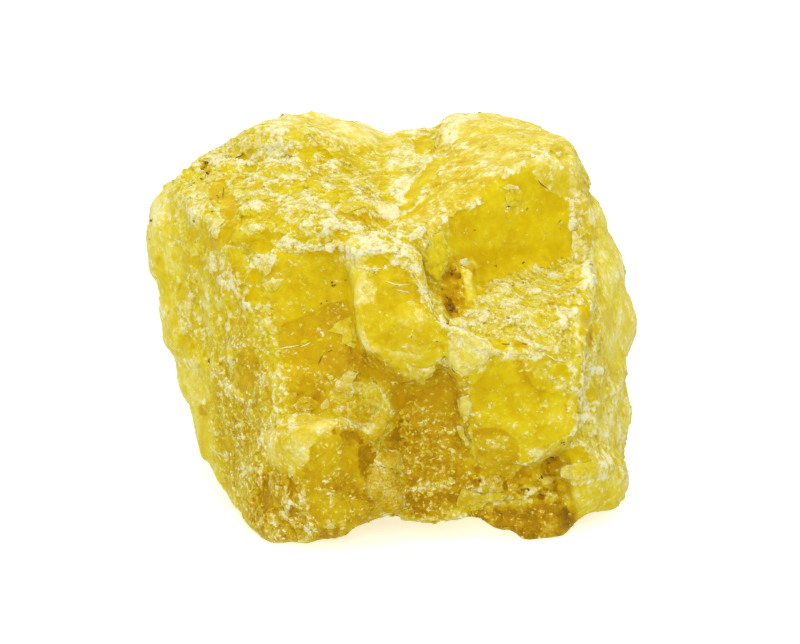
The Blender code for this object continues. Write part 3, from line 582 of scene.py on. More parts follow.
# Smaller patches, each (across, up, half length, half width, turn in degrees), and what they add.
patches = {
    "powder": {
        "adds": dict(crust=0.42, veil=0.24, sunk=-0.08),
        "places": [
            # left roof
            (-14.8, 49.3, 2.0, 1.2, 10), (-13.4, 47.7, 2.6, 0.6, -5), (-14.5, 51.5, 2.2, 0.7, 10), (-10.3, 43.5, 0.9, 0.7, 0),
            (-13.4, 43.0, 2.6, 0.35, -12), (-8.8, 42.9, 1.6, 0.45, -35), (-7.3, 41.4, 0.8, 0.5, -20), (-7.7, 45.2, 1.2, 0.6, 50),
            (-9.4, 46.6, 0.9, 0.4, 30), (-12.1, 41.6, 0.9, 0.3, -15), (-11.5, 39.7, 0.6, 0.4, 0), (-8.6, 40.2, 0.5, 0.3, 0),
            (-3.4, 43.9, 2.6, 0.3, -32), (-18.0, 47.6, 1.6, 0.5, 12), (-21.3, 48.3, 1.2, 0.5, 20), (-17.2, 45.2, 0.9, 0.7, 0),
            (-16.6, 41.6, 0.8, 0.5, -30), (-14.8, 45.2, 1.6, 0.6, -10), (-4.4, 39.4, 2.2, 0.6, -8), (-0.2, 38.4, 2.6, 0.5, 0),
            (-13.0, 37.4, 1.8, 0.45, 0), (-9.6, 36.9, 2.4, 0.35, -5), (-8.6, 38.4, 1.6, 0.4, -5), (-16.0, 35.0, 1.5, 1.1, 0),
            (-18.0, 38.6, 0.5, 0.5, 0), (-3.4, 45.9, 1.2, 0.3, -20),
            # cap and ridge
            (-2.8, 37.5, 3.0, 0.8, 0), (-4.0, 36.0, 2.0, 0.4, 12), (1.0, 36.6, 0.8, 1.2, 20), (3.6, 38.8, 1.1, 0.6, 25),
            (5.1, 40.2, 0.7, 0.4, 20),
            # right block
            (8.4, 46.8, 0.5, 0.25, 20), (6.8, 46.9, 1.0, 0.35, 35), (11.2, 46.8, 0.6, 0.25, 25), (13.1, 46.1, 0.6, 0.2, 20),
            (9.5, 49.4, 0.6, 0.25, 10), (10.8, 48.7, 0.5, 0.2, 30), (19.6, 48.5, 1.6, 0.25, 0), (18.9, 48.0, 0.8, 0.2, 0),
            (22.8, 39.6, 0.3, 1.2, 0), (23.4, 38.0, 0.6, 0.5, 0), (4.4, 43.4, 2.4, 0.3, 40), (7.2, 42.4, 1.6, 0.4, 30),
            # shelf
            (10.8, 27.7, 2.8, 0.7, 10), (21.4, 27.0, 0.9, 0.6, 0), (21.9, 29.0, 1.6, 0.6, 0), (15.4, 30.0, 0.9, 0.35, 20),
            (8.4, 26.4, 1.0, 0.5, -10), (24.9, 33.6, 0.8, 1.8, 0), (15.2, 23.4, 1.0, 0.35, -10), (18.4, 23.6, 1.8, 0.35, 0),
            (19.4, 22.3, 1.3, 0.3, -10), (23.1, 19.4, 0.3, 1.6, 0), (22.8, 16.6, 0.3, 1.8, 5), (19.6, 16.6, 0.4, 0.3, 0),
            (14.0, 12.6, 0.9, 0.6, 0), (11.2, 15.3, 0.6, 0.6, 0), (13.2, 15.8, 0.5, 0.4, 0), (24.4, 17.2, 0.4, 1.4, 5),
            (26.0, 21.4, 0.8, 0.4, -20), (27.2, 10.4, 0.4, 1.4, 0), (26.6, 8.4, 0.5, 0.5, 30),
            # feet
            (-12.4, 14.2, 1.3, 0.8, 10), (-14.2, 12.9, 1.0, 0.6, 30), (-15.6, 11.6, 0.35, 0.9, 0), (-12.8, 5.4, 0.6, 1.6, 0),
            (-17.8, 9.2, 0.8, 0.8, 0), (-20.6, 19.4, 1.2, 1.0, -30), (-19.2, 18.6, 0.6, 1.4, 20), (4.9, 7.0, 1.5, 0.6, 0),
            (3.1, 6.2, 0.8, 0.5, -20), (12.4, 5.0, 2.4, 0.5, 12), (10.0, 6.6, 1.2, 0.6, 20), (-7.2, 5.4, 0.9, 0.8, 40),
            (-6.6, 9.4, 0.4, 0.8, -15), (-7.4, 2.4, 2.2, 0.4, 8),
            # left side
            (-22.9, 35.0, 1.3, 1.2, 0), (-21.4, 34.6, 1.2, 0.9, 0), (-20.4, 32.6, 1.4, 1.2, -45), (-19.9, 23.4, 0.4, 1.0, 10),
            (-24.6, 22.8, 1.0, 0.6, 10), (-18.4, 30.2, 1.6, 0.5, -50), (-27.4, 29.0, 0.5, 0.6, 0), (-25.6, 27.0, 0.5, 0.8, 0),
        ],
    },
    "milk": {
        "adds": dict(veil=0.45, crust=-0.08),
        "places": [
            (-24.2, 19.0, 1.2, 2.4, 0), (-29.0, 41.6, 1.0, 1.2, 0), (-26.6, 41.4, 1.4, 2.0, 20), (-24.6, 40.6, 1.2, 1.4, 0),
            (-18.9, 49.2, 1.1, 0.7, 25), (-3.2, 31.6, 1.5, 2.1, 0), (-4.2, 34.9, 1.1, 0.7, 0), (0.4, 28.0, 3.0, 0.6, -8),
            (1.0, 23.4, 2.6, 0.7, -20), (-3.4, 26.0, 0.5, 1.8, 10), (10.0, 23.2, 2.4, 1.6, -30), (20.9, 16.4, 1.6, 2.6, 0),
            (6.8, 50.4, 0.8, 1.0, 20), (-10.5, 17.4, 1.7, 0.8, 0), (-6.4, 34.0, 1.2, 1.4, 0), (23.4, 42.4, 0.6, 1.6, 0),
            (28.6, 34.0, 0.8, 1.6, 0), (25.6, 41.0, 0.9, 0.8, 0), (13.2, 7.4, 1.2, 0.7, -30), (-23.4, 30.4, 0.8, 1.6, 0),
            (26.8, 13.6, 0.9, 2.2, 0), (-8.8, 14.2, 1.6, 0.9, 10), (19.0, 12.0, 1.6, 0.7, 30),
        ],
    },
    "clear": {
        "adds": dict(crust=-0.6, veil=-0.36, amberAndShade=0.06, sunk=0.06, calm=0.35, speck=-0.3),
        "places": [
            # left roof
            (-8.7, 43.6, 1.1, 0.7, -30), (-7.2, 43.1, 1.0, 0.9, 0), (-5.7, 43.3, 0.9, 0.6, -40), (-4.0, 47.1, 1.6, 0.4, -38),
            (-1.2, 45.3, 1.3, 0.5, -25), (-0.7, 43.4, 1.1, 0.45, -45), (0.7, 46.1, 0.8, 0.6, 40), (-5.5, 48.9, 0.6, 0.5, 0),
            (-10.4, 48.8, 1.8, 0.8, 0), (-10.3, 47.4, 1.1, 0.4, -35), (-9.8, 45.0, 1.0, 0.6, 45), (-6.0, 44.8, 0.7, 0.5, 0),
            (-15.6, 40.9, 1.7, 0.5, 8), (-12.8, 39.3, 1.1, 0.25, -15), (-10.8, 38.2, 0.8, 0.22, 10), (-9.3, 37.4, 0.6, 0.25, 0),
            (-11.8, 51.2, 1.2, 0.9, 0), (-15.8, 46.9, 0.6, 0.3, 0), (-13.8, 46.7, 1.3, 0.2, 0), (-16.6, 44.6, 0.7, 0.6, 0),
            (-13.8, 44.3, 1.2, 0.3, -40), (-11.6, 44.6, 0.5, 0.5, 0), (-20.3, 46.6, 0.9, 0.5, 10), (-5.9, 38.0, 0.9, 0.7, -40),
            (-4.9, 37.3, 0.7, 0.3, 0), (-3.0, 48.8, 0.8, 0.4, 0), (-7.2, 48.4, 0.9, 0.35, -20), (-2.8, 43.6, 0.5, 0.35, 0),
            (-16.6, 37.8, 2.4, 1.0, -8), (-19.9, 38.6, 1.6, 1.2, 20), (-18.8, 34.9, 1.2, 0.8, 0), (-22.2, 37.4, 1.2, 0.9, 0),
            (-16.8, 33.2, 1.3, 0.9, 30), (-17.0, 30.8, 1.1, 1.0, 0), (-24.8, 38.6, 0.5, 0.9, 15), (-26.6, 44.4, 0.35, 0.7, 0),
            (-25.4, 46.2, 1.0, 0.6, 0),
            # cap and face
            (-2.0, 35.2, 1.5, 0.55, 0), (1.0, 33.2, 1.1, 0.8, -10), (-0.2, 30.8, 1.4, 1.0, 20), (3.1, 31.0, 0.6, 0.5, 0),
            (4.6, 34.6, 0.9, 1.2, 30), (6.2, 37.6, 0.8, 1.2, 0), (-1.8, 26.0, 1.6, 0.8, -25),
            # right block
            (3.9, 49.6, 0.9, 0.9, 0), (2.6, 42.4, 1.5, 0.3, 38), (3.6, 44.4, 1.5, 0.4, 48), (8.2, 48.0, 0.9, 0.3, 5),
            (7.0, 44.2, 1.0, 0.3, 30), (8.8, 43.0, 1.0, 0.3, 25), (3.0, 40.9, 1.4, 0.3, 30), (8.4, 45.2, 1.4, 0.25, 10),
            (20.8, 49.2, 0.7, 0.4, 0),
            # shelf and right side
            (13.4, 24.5, 0.8, 0.35, 15), (15.9, 24.7, 0.8, 0.2, -5), (18.0, 25.5, 1.2, 0.2, 0), (24.5, 28.2, 0.3, 2.1, 2),
            (25.0, 25.6, 0.35, 1.3, 0), (22.2, 29.7, 1.3, 0.18, -3), (16.6, 21.6, 1.4, 0.5, -35), (18.2, 19.6, 1.0, 0.5, -20),
            (21.2, 21.3, 1.1, 0.8, 0), (23.7, 21.0, 0.2, 2.6, 0), (25.4, 19.0, 0.8, 1.2, 0), (20.2, 18.9, 1.4, 0.16, -25),
            (27.3, 27.6, 0.5, 1.7, 5), (26.4, 30.6, 0.3, 1.2, 0), (23.4, 10.6, 1.2, 0.7, 0), (12.0, 11.0, 0.8, 0.5, 0),
            (24.2, 6.6, 0.9, 0.5, 0),
            # feet and left side
            (-9.4, 8.8, 0.9, 1.4, 20), (-8.6, 10.8, 1.2, 0.5, 20), (-11.8, 7.8, 0.5, 0.6, 0), (-14.8, 5.4, 0.9, 1.2, 0),
            (-22.2, 18.4, 0.8, 1.0, 0), (-22.9, 16.4, 0.3, 0.7, -20), (-25.6, 24.6, 0.9, 1.2, 20), (-24.6, 35.0, 1.2, 0.9, 0),
            (-26.4, 31.4, 0.6, 0.9, 0), (-28.6, 33.6, 0.8, 1.6, 10), (-18.2, 20.4, 1.1, 1.4, 10), (-17.6, 22.8, 0.9, 0.9, 0),
        ],
    },
    # painted shade: the amber they add darkens risers under ledges and hollows
    "deep": {
        "adds": dict(crust=-0.6, veil=-0.4, amberAndShade=0.3, sunk=0.1, calm=0.3, speck=-0.3),
        "places": [
            (-5.4, 41.2, 1.2, 0.6, -25), (-3.3, 40.4, 1.3, 0.6, -25), (-2.1, 39.6, 0.6, 0.5, 10), (-0.6, 39.5, 0.8, 0.4, -30),
            (0.2, 38.9, 0.6, 0.4, -20),
            (7.6, 33.2, 1.0, 0.8, 0), (0.8, 13.8, 0.8, 1.8, 10), (-5.0, 13.2, 1.8, 0.7, -20), (17.2, 8.8, 1.6, 0.6, 28),
            (11.2, 9.2, 0.8, 0.7, 0), (14.2, 7.0, 0.3, 0.3, 0),
            (11.0, 7.7, 0.7, 0.3, 20), (24.9, 25.4, 0.3, 0.7, 0),
        ],
    },
    # painted shade: the amber they add darkens the small pits
    "hole": {
        "adds": dict(crust=-0.6, veil=-0.5, amberAndShade=0.5, sunk=0.2, speck=-0.6),
        "places": [
            (20.3, 10.2, 0.6, 0.2, 20), (18.6, 7.9, 0.4, 0.2, 0), (17.0, 6.5, 0.5, 0.2, 10),
            (7.6, 29.2, 0.5, 0.8, 0), (7.9, 33.9, 0.5, 0.6, 0), (-23.0, 46.7, 0.45, 0.8, 10), (18.9, 5.9, 0.4, 0.25, 0),
        ],
    },
}

# Narrow lines, each a route in the view and its half width in millimetres, and what they add.
lines = {
    "crushedEdge": {
        "adds": dict(crust=0.32, veil=0.2, calm=-0.3, sunk=-0.1),
        "routes": [
            ([(-12.6, 9.0), (-10.9, 6.6), (-10.3, 4.0), (-10.0, 1.0)], 0.35), ([(1.2, 35.4), (4.0, 31.5), (6.9, 26.9)], 0.35),
            ([(6.2, 39.9), (9.0, 41.4), (11.8, 42.6)], 0.25), ([(13.8, 45.6), (16.0, 47.0), (18.4, 49.2)], 0.3),
            ([(15.8, 8.9), (18.0, 10.2), (20.0, 12.0), (22.4, 13.6), (23.6, 14.0)], 0.25),
            ([(-3.2, 34.3), (-1.8, 33.9), (-0.4, 34.3), (0.7, 35.1)], 0.25), ([(21.4, 7.9), (23.2, 7.5), (26.4, 8.2)], 0.22),
            ([(7.4, 26.6), (9.4, 26.0), (13.6, 23.9)], 0.3), ([(23.9, 24.6), (24.1, 20.0), (24.0, 14.6)], 0.25),
            ([(-14.2, 24.0), (-13.6, 22.0), (-13.3, 19.0)], 0.22), ([(-15.8, 13.7), (-15.8, 10.6)], 0.2),
            ([(17.8, 49.0), (18.2, 48.4), (21.2, 48.5)], 0.22), ([(-22.0, 38.8), (-21.4, 39.9), (-20.6, 40.5)], 0.3),
            ([(-10.6, 15.9), (-13.2, 15.5), (-13.8, 14.4), (-15.8, 13.8)], 0.2),
        ],
    },
    "paleRim": {
        "adds": dict(veil=0.25),
        "routes": [
            ([(-4.4, 27.4), (-3.6, 24.8), (-1.2, 23.1), (1.6, 21.9)], 0.35), ([(22.4, 39.4), (23.0, 42.4), (22.6, 46.4)], 0.3),
            ([(9.2, 36.2), (9.7, 33.6), (10.0, 30.8)], 0.2), ([(10.4, 35.8), (11.0, 33.0), (10.8, 31.2)], 0.3),
            ([(7.4, 36.4), (7.0, 34.4), (6.0, 32.8)], 0.2),
        ],
    },
}


# how far each place is from a route, in millimetres
def awayFrom(across, up, route):
    nearest = np.full(len(across), 1e9)
    for (ax, ay), (bx, by) in zip(route, route[1:]):
        sideX, sideY = bx - ax, by - ay
        t = np.clip(((across - ax) * sideX + (up - ay) * sideY) / (sideX**2 + sideY**2), 0.0, 1.0)
        nearest = np.minimum(nearest, np.hypot(across - ax - t * sideX, up - ay - t * sideY))
    return nearest


# how far inside an outline each place is, in millimetres; negative outside it
def insideOutline(across, up, outline):
    inside = np.zeros(len(across), bool)
    for (ax, ay), (bx, by) in zip(outline, outline[1:] + outline[:1]):
        if ay != by:
            crosses = ((ay > up) != (by > up)) & (across < ax + (up - ay) / (by - ay) * (bx - ax))
            inside ^= crosses
    nearest = awayFrom(across, up, outline + outline[:1])
    return np.where(inside, nearest, -nearest)


# from 0 outside an outline to 1 inside it, across a border that is as soft as asked for
def shareInside(across, up, outline, pull, soft):
    left, low = np.min(outline, 0) - soft - 1.0
    right, high = np.max(outline, 0) + soft + 1.0
    near = (across > left) & (across < right) & (up > low) & (up < high)
    share = np.zeros(len(across))
    share[near] = eased(insideOutline(across[near], up[near], outline) + pull[near], -soft, soft)
    return share


def noiseAt(spots, size, octaves, seed):
    place = Vector((seed, seed * 0.7, seed * 0.3))
    fractal = noise.fractal
    return np.array([fractal(Vector(spot) / size + place, 0.8, 2.0, octaves) for spot in spots])


# the middle of the small chip that each spot belongs to
def chipCentres(spots):
    cell = skin["borderCell"]
    warped = [Vector(spot) / cell + noise.noise_vector(Vector(spot) / 0.5) * 0.12 for spot in spots]
    return np.array([noise.voronoi(spot)[1][0] for spot in warped]) * cell


# The sides that the view doesn't show are broken faces too, each one clean, milky or neither. Each
# has a tone, mostly from -0.5 to 0.5, and a kind takes the faces between its two tones.
hiddenFaces = {
    "size": 6.5, "warp": 0.22,
    "clean": dict(
        tones=(0.04, 0.14),
        kind=dict(calm=0.85, veil=0.06, crust=0.05, grit=0.2, amberAndShade=0.16, speck=0.35, sunk=0.15),
    ),
    "milky": dict(tones=(-0.1, -0.2), kind=dict(calm=0.6, veil=0.7, crust=0.3, grit=0.25, amberAndShade=0.03)),
}


# the tone of the face that each spot belongs to
def faceTones(spots):
    size, warp = hiddenFaces["size"], hiddenFaces["warp"]
    warped = [Vector(spot) / size for spot in spots]
    warped = [spot + noise.noise_vector(spot * 2.0) * warp for spot in warped]
    return np.array([noise.noise(noise.voronoi(spot)[1][0] * 2.7) for spot in warped])


# what the surface is at each spot; spots are in millimetres
def surfaceKinds(spots, normals):
    chips = chipCentres(spots)
    clean = placesSeen(spots * mm, normals)[:2]
    across, up, facing = placesSeen((spots + (chips - spots) * skin["borderSnap"]) * mm, normals)
    ragged = noiseAt(chips, 1.6, 3, 5.0) * 0.9
    torn = noiseAt(chips, 0.7, 2, 8.0)
    level = {kind: np.full(len(spots), value) for kind, value in everywhere.items()}
    # paler on faces that look up: partly powder that settles on top, partly painted top light
    level["crust"] += 0.16 * normals[:, 2]
    level["veil"] += 0.12 * normals[:, 2]
    # painted shade: the yellow is made deeper and browner towards the bottom
    level["amberAndShade"] += 0.2 * eased(-spots[:, 2], -16.0, 0.0)
    tones, unseen = faceTones(chips), 1.0 - eased(facing, -0.15, 0.05)
    for face in (hiddenFaces["clean"], hiddenFaces["milky"]):
        share = eased(tones, *face["tones"]) * unseen
        for kind, value in face["kind"].items():
            level[kind] += (value - level[kind]) * share
    for area in areas.values():
        share = shareInside(across, up, area["outline"], ragged * min(1.0, area["soft"]), area["soft"])
        share *= eased(facing, -0.15, 0.15)
        for kind, value in area["kind"].items():
            level[kind] += (value - level[kind]) * share
    faced = eased(facing, -0.05, 0.2)
    for facet in facets.values():
        shares = [shareInside(*clean, outline, torn * 0.1, 0.12) for outline in facet["outlines"]]
        share = np.max(shares, 0) * faced
        for kind, value in facet["kind"].items():
            level[kind] += (value - level[kind]) * share
    for patch in patches.values():
        share = np.zeros(len(spots))
        for x, y, long, wide, turn in patch["places"]:
            cosine, sine = math.cos(math.radians(turn)), math.sin(math.radians(turn))
            along = (across - x) * cosine + (up - y) * sine
            aside = (up - y) * cosine - (across - x) * sine
            inside = (1.0 - np.hypot(along / long, aside / wide)) * min(long, wide)
            share = np.maximum(share, eased(inside + ragged * 0.45 + torn * 0.4, -0.2, 0.16))
        for kind, amount in patch["adds"].items():
            level[kind] += amount * share * faced
    for line in lines.values():
        share = np.zeros(len(spots))
        for route, halfWidth in line["routes"]:
            inside = halfWidth - awayFrom(across, up, route)
            share = np.maximum(share, eased(inside + ragged * 0.2 + torn * 0.25, -0.3, 0.2))
        for kind, amount in line["adds"].items():
            level[kind] += amount * share * faced
    for kind in level:
        if kind != "sunk":
            level[kind] = np.clip(level[kind], 0.0, 1.0)
    return level


# The lump's fine surface.
skin = {
    "grain": 0.25,  # spacing of the points that shape it, in millimetres
    "triangles": 196000,
    "sharpAngle": 33.0,
    "borderCell": 0.8, "borderSnap": 0.8,  # patches end along the borders of chips this size
    "easing": 2,  # rounds that take the edges off the coarse facets
    "calmEasing": 34,  # rounds on the smooth fractures
    "slabCell": 2.6, "slabTilt": 0.30, "slabStep": 0.07,
    "chipCell": 1.1, "chipTilt": 0.34, "chipStep": 0.07,
    "edgeCell": 1.3, "edgeLoss": 0.35,
    "crustHeight": 0.08,
    "gritHeight": 0.07,
    "rippleSpacing": 1.7, "rippleHeight": 0.006,
    "layerPitch": 0.55, "layerHeight": 0.05, "layersRise": (0.72, -0.62, -0.3),
    # the way that the chips lie on top and down the sides, and how much longer than wide they are
    "topWay": (0.92, -0.38, -0.1), "sideWay": (0.3, -0.2, -0.93), "stretch": 1.6,
}


# squeezes places along a way, so that a pattern read there comes out stretched along it
def squeezed(spots, way, stretch):
    way = np.array(way) / np.linalg.norm(way)
    return spots + (spots @ way)[..., None] * way * (1.0 / stretch - 1.0)


def pointsOf(mesh):
    spots = np.empty(len(mesh.vertices) * 3, np.float32)
    mesh.vertices.foreach_get("co", spots)
    normals = np.empty(len(mesh.vertices) * 3, np.float32)
    mesh.vertex_normals.foreach_get("vector", normals)
    return spots.reshape(-1, 3).astype(float) / mm, normals.reshape(-1, 3).astype(float)


def movePoints(mesh, spots):
    mesh.vertices.foreach_set("co", (spots * mm).astype(np.float32).ravel())
    mesh.update()


# moves values towards the mean of their neighbours, by a share that may differ from place to place
def easedOver(mesh, values, share, rounds):
    edges = np.empty(len(mesh.edges) * 2, np.int32)
    mesh.edges.foreach_get("vertices", edges)
    a, b = edges.reshape(-1, 2).T
    count = len(mesh.vertices)
    ties = np.bincount(a, minlength=count) + np.bincount(b, minlength=count)
    values = values.copy()
    share = np.broadcast_to(share, (count,))
    for turn in range(rounds):
        for axis in range(values.shape[1]):
            column = values[:, axis]
            total = np.bincount(a, column[b], count) + np.bincount(b, column[a], count)
            values[:, axis] += (total / ties - column) * share
    return values


def facetHeight(spot, cell, tilt, step):
    where = spot / cell
    centre = noise.voronoi(where)[1][0]
    lean = noise.cell_vector(centre + Vector((9.0, 4.0, 2.0))) - Vector((0.5, 0.5, 0.5))
    return ((where - centre).dot(lean) * tilt + lean.x * step) * cell


def reliefAt(spot, grained, calm, grit, strata, sunk, bulge, crust):
    rough = 1.0 - calm
    height = noise.fractal(spot / 5.0, 1.0, 2.0, 2) * 0.16 - sunk
    if rough > 0.03:
        height += facetHeight(grained, skin["slabCell"], skin["slabTilt"], skin["slabStep"]) * rough
        shifted = grained + Vector((31.0, 7.0, 0.0))
        height += facetHeight(shifted, skin["chipCell"], skin["chipTilt"], skin["chipStep"]) * rough
    if bulge > 0.05:
        lost = noise.cell(spot / skin["edgeCell"] + noise.noise_vector(spot * 1.3) * 0.5)
        height -= max(0.0, lost - 0.45) * skin["edgeLoss"] * min(1.0, bulge * 3.0) * (0.3 + rough)
    ripple = (spot - Vector((-20.0, 0.0, 48.0))).length + noise.noise(spot / 3.0) * 2.0
    height += math.sin(ripple * math.tau / skin["rippleSpacing"]) * skin["rippleHeight"] * calm
    height += max(-0.3, min(1.0, crust * 6.0)) * skin["crustHeight"] * rough
    height += noise.noise(spot / 0.45) * skin["gritHeight"] * grit
    if strata > 0.02:
        wavy = spot + noise.noise_vector(spot / 4.0) * 0.3
        layer = wavy.dot(Vector(skin["layersRise"])) / skin["layerPitch"]
        height += (0.5 - layer % 1.0) * skin["layerHeight"] * strata
    return height


# how much open sky each point has around it, from 0 deep in a pit to 1
def openness(mesh, spots, normals, reach, count):
    tree = BVHTree.FromPolygons([spot.tolist() for spot in spots], [face.vertices[:] for face in mesh.polygons])
    turn = math.pi * (3.0 - math.sqrt(5.0))
    rays = []
    for index in range(count):
        height = 1.0 - 2.0 * (index + 0.5) / count
        ring = math.sqrt(1.0 - height * height)
        rays.append(Vector((math.cos(turn * index) * ring, math.sin(turn * index) * ring, height)))
    sky = np.zeros(len(spots))
    for index in range(len(spots)):
        normal = Vector(normals[index])
        start = Vector(spots[index]) + normal * 0.12
        seen, clear = 0.0, 0.0
        for ray in rays:
            lean = ray.dot(normal)
            if lean > 0.15:
                seen += lean
                if tree.ray_cast(start, ray, reach)[0] is None:
                    clear += lean
        sky[index] = clear / max(seen, 1e-6)
    return sky


def bakeModifiers(piece):
    graph = bpy.context.evaluated_depsgraph_get()
    mesh = bpy.data.meshes.new_from_object(piece.evaluated_get(graph))
    piece.modifiers.clear()
    old = piece.data
    piece.data = mesh
    bpy.data.meshes.remove(old)


def setAttribute(mesh, name, columns):
    values = np.stack(columns, 1).astype(np.float32)
    attribute = mesh.attributes.new(name, "FLOAT_VECTOR", "POINT")
    attribute.data.foreach_set("vector", values.ravel())


# where the powder lies: above 0 it covers the surface, and more thickly the higher it is
def crustDepth(spots, level, bulge):
    onTop = noiseAt(squeezed(spots, skin["topWay"], skin["stretch"]), 1.9, 5, 11.0)
    downSides = noiseAt(squeezed(spots, skin["sideWay"], skin["stretch"]), 1.9, 5, 11.0)
    uneven = onTop + (downSides - onTop) * level["streak"]
    worn = np.clip(bulge, -0.3, 0.35) * (0.8 - 0.55 * level["calm"])
    return uneven * 0.36 + level["crust"] - 0.5 + worn


def makeLump(material):
    bm = bmesh.new()
    bm.from_mesh(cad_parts["sulfur_mass"].data)
    bmesh.ops.remove_doubles(bm, verts=bm.verts, dist=0.002 * mm)
    mesh = bpy.data.meshes.new("sulfurLump")
    bm.to_mesh(mesh)
    bm.free()
    lump = newPiece("sulfurLump", mesh, material)
    remesh = lump.modifiers.new("fineSkin", "REMESH")
    remesh.mode = "VOXEL"
    remesh.voxel_size = skin["grain"] * mm
    bakeModifiers(lump)
    mesh = lump.data
    spots, normals = pointsOf(mesh)
    print("fine skin:", len(spots), "points")

    level = surfaceKinds(spots, normals)
    spots = easedOver(mesh, spots, 0.5, skin["easing"])
    spots = easedOver(mesh, spots, 0.5 * level["calm"], skin["calmEasing"])
    movePoints(mesh, spots)
    spots, normals = pointsOf(mesh)
    level = surfaceKinds(spots, normals)
    broad = easedOver(mesh, spots, 0.5, 30)
    bulge = ((spots - broad) * normals).sum(1)
    crust = crustDepth(spots, level, bulge)
    ways = (squeezed(spots, skin[way], skin["stretch"]) for way in ("topWay", "sideWay"))
    grained = np.where(level["streak"][:, None] > 0.4, *reversed(list(ways)))
    rest = zip(spots, grained, level["calm"], level["grit"], level["strata"], level["sunk"], bulge, crust)
    heights = np.array([reliefAt(Vector(spot), Vector(other), *more) for spot, other, *more in rest])
    # the flats that it stands on stay flat
    heights *= eased(spots[:, 2], 0.1, 1.2)
    movePoints(mesh, spots + normals * heights[:, None])
    print("relief is on")

    thin = lump.modifiers.new("thin", "DECIMATE")
    thin.ratio = skin["triangles"] / sum(len(face.vertices) - 2 for face in mesh.polygons)
    bakeModifiers(lump)
    mesh = lump.data
    spots, normals = pointsOf(mesh)
    level = surfaceKinds(spots, normals)
    broad = easedOver(mesh, spots, 0.5, 24)
    close = easedOver(mesh, spots, 0.5, 4)
    bulge = ((spots - broad) * normals).sum(1)
    # convex rims, later painted paler: partly crushed wear, partly painted edge highlight
    rim = ((spots - close) * normals).sum(1)
    crust = crustDepth(spots, level, bulge)
    sky = openness(mesh, spots, normals, 9.0, 22)
    # painted shade: the yellow is made deeper and browner where little open sky reaches, in hollows and under overhangs
    amberAndShade = np.clip(level["amberAndShade"] + 0.8 * np.clip(0.75 - sky, 0.0, 1.0), 0.0, 1.0)
    setAttribute(mesh, "cover", (crust, level["grit"], level["speck"]))
    setAttribute(mesh, "body", (level["veil"], amberAndShade, np.clip(rim * 12.0, -1.0, 1.0)))
    setAttribute(mesh, "marks", (level["streak"], level["strata"], level["calm"]))
    mesh.shade_smooth()
    mesh.set_sharp_from_angle(angle=math.radians(skin["sharpAngle"]))
    mesh.materials.clear()
    mesh.materials.append(material)
    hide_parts("sulfur_mass")
    print("lump:", sum(len(face.vertices) - 2 for face in mesh.polygons), "triangles")
    level.update(crust=crust, sky=sky)
    return lump, level


# What clings to the lump. The small shapes are made once each, a unit across, and copied.
def asArrays(bm):
    bmesh.ops.recalc_face_normals(bm, faces=bm.faces)
    bmesh.ops.triangulate(bm, faces=bm.faces)
    bm.verts.index_update()
    corners = np.array([corner.co[:] for corner in bm.verts])
    faces = np.array([[corner.index for corner in face.verts] for face in bm.faces])
    bm.free()
    return corners, faces


def flakeShape(draw, thickness):
    bm = bmesh.new()
    bmesh.ops.create_circle(bm, cap_ends=True, segments=int(draw.integers(5, 8)), radius=1.0)
    for corner in bm.verts:
        corner.co *= draw.uniform(0.6, 1.2)
    bmesh.ops.scale(bm, vec=(1.0, draw.uniform(0.45, 0.9), 1.0), verts=bm.verts)
    raised = bmesh.ops.extrude_face_region(bm, geom=bm.faces[:])["geom"]
    raised = [corner for corner in raised if isinstance(corner, bmesh.types.BMVert)]
    bmesh.ops.scale(bm, vec=(0.86, 0.86, 1.0), verts=raised)
    for corner in raised:
        corner.co.z += thickness * draw.uniform(0.6, 1.3)
    return asArrays(bm)


def crumbShape(draw):
    bm = bmesh.new()
    bmesh.ops.create_icosphere(bm, subdivisions=1, radius=1.0)
    for corner in bm.verts:
        corner.co *= draw.uniform(0.65, 1.25)
    bmesh.ops.scale(bm, vec=(1.0, draw.uniform(0.55, 1.0), draw.uniform(0.45, 0.8)), verts=bm.verts)
    return asArrays(bm)


# places on the lump picked by chance, more of them where the weight is high, with a value there
def pickPlaces(mesh, weight, value, count, draw):
    mesh.calc_loop_triangles()
    ends = np.empty(len(mesh.loop_triangles) * 3, np.int32)
    mesh.loop_triangles.foreach_get("vertices", ends)
    ends = ends.reshape(-1, 3)
    spots, normals = pointsOf(mesh)
    corners = spots[ends]
    area = np.linalg.norm(np.cross(corners[:, 1] - corners[:, 0], corners[:, 2] - corners[:, 0]), axis=1)
    chance = area * np.clip(weight[ends].mean(1), 0.0, None)
    picked = draw.choice(len(ends), count, p=chance / chance.sum())
    shares = draw.dirichlet((1.0, 1.0, 1.0), count)
    places = (corners[picked] * shares[:, :, None]).sum(1)
    facing = (normals[ends[picked]] * shares[:, :, None]).sum(1)
    return places, facing / np.linalg.norm(facing, axis=1)[:, None], value[ends[picked, 0]]


# turns the shapes' Z along each facing, leant a little at random, and spins them about it
def turnsFor(facing, lean, draw):
    upward = facing + draw.normal(0.0, lean, facing.shape)
    upward /= np.linalg.norm(upward, axis=1)[:, None]
    sideways = np.cross(upward, draw.normal(0.0, 1.0, facing.shape))
    sideways /= np.linalg.norm(sideways, axis=1)[:, None]
    return np.stack((sideways, np.cross(upward, sideways), upward), 2)


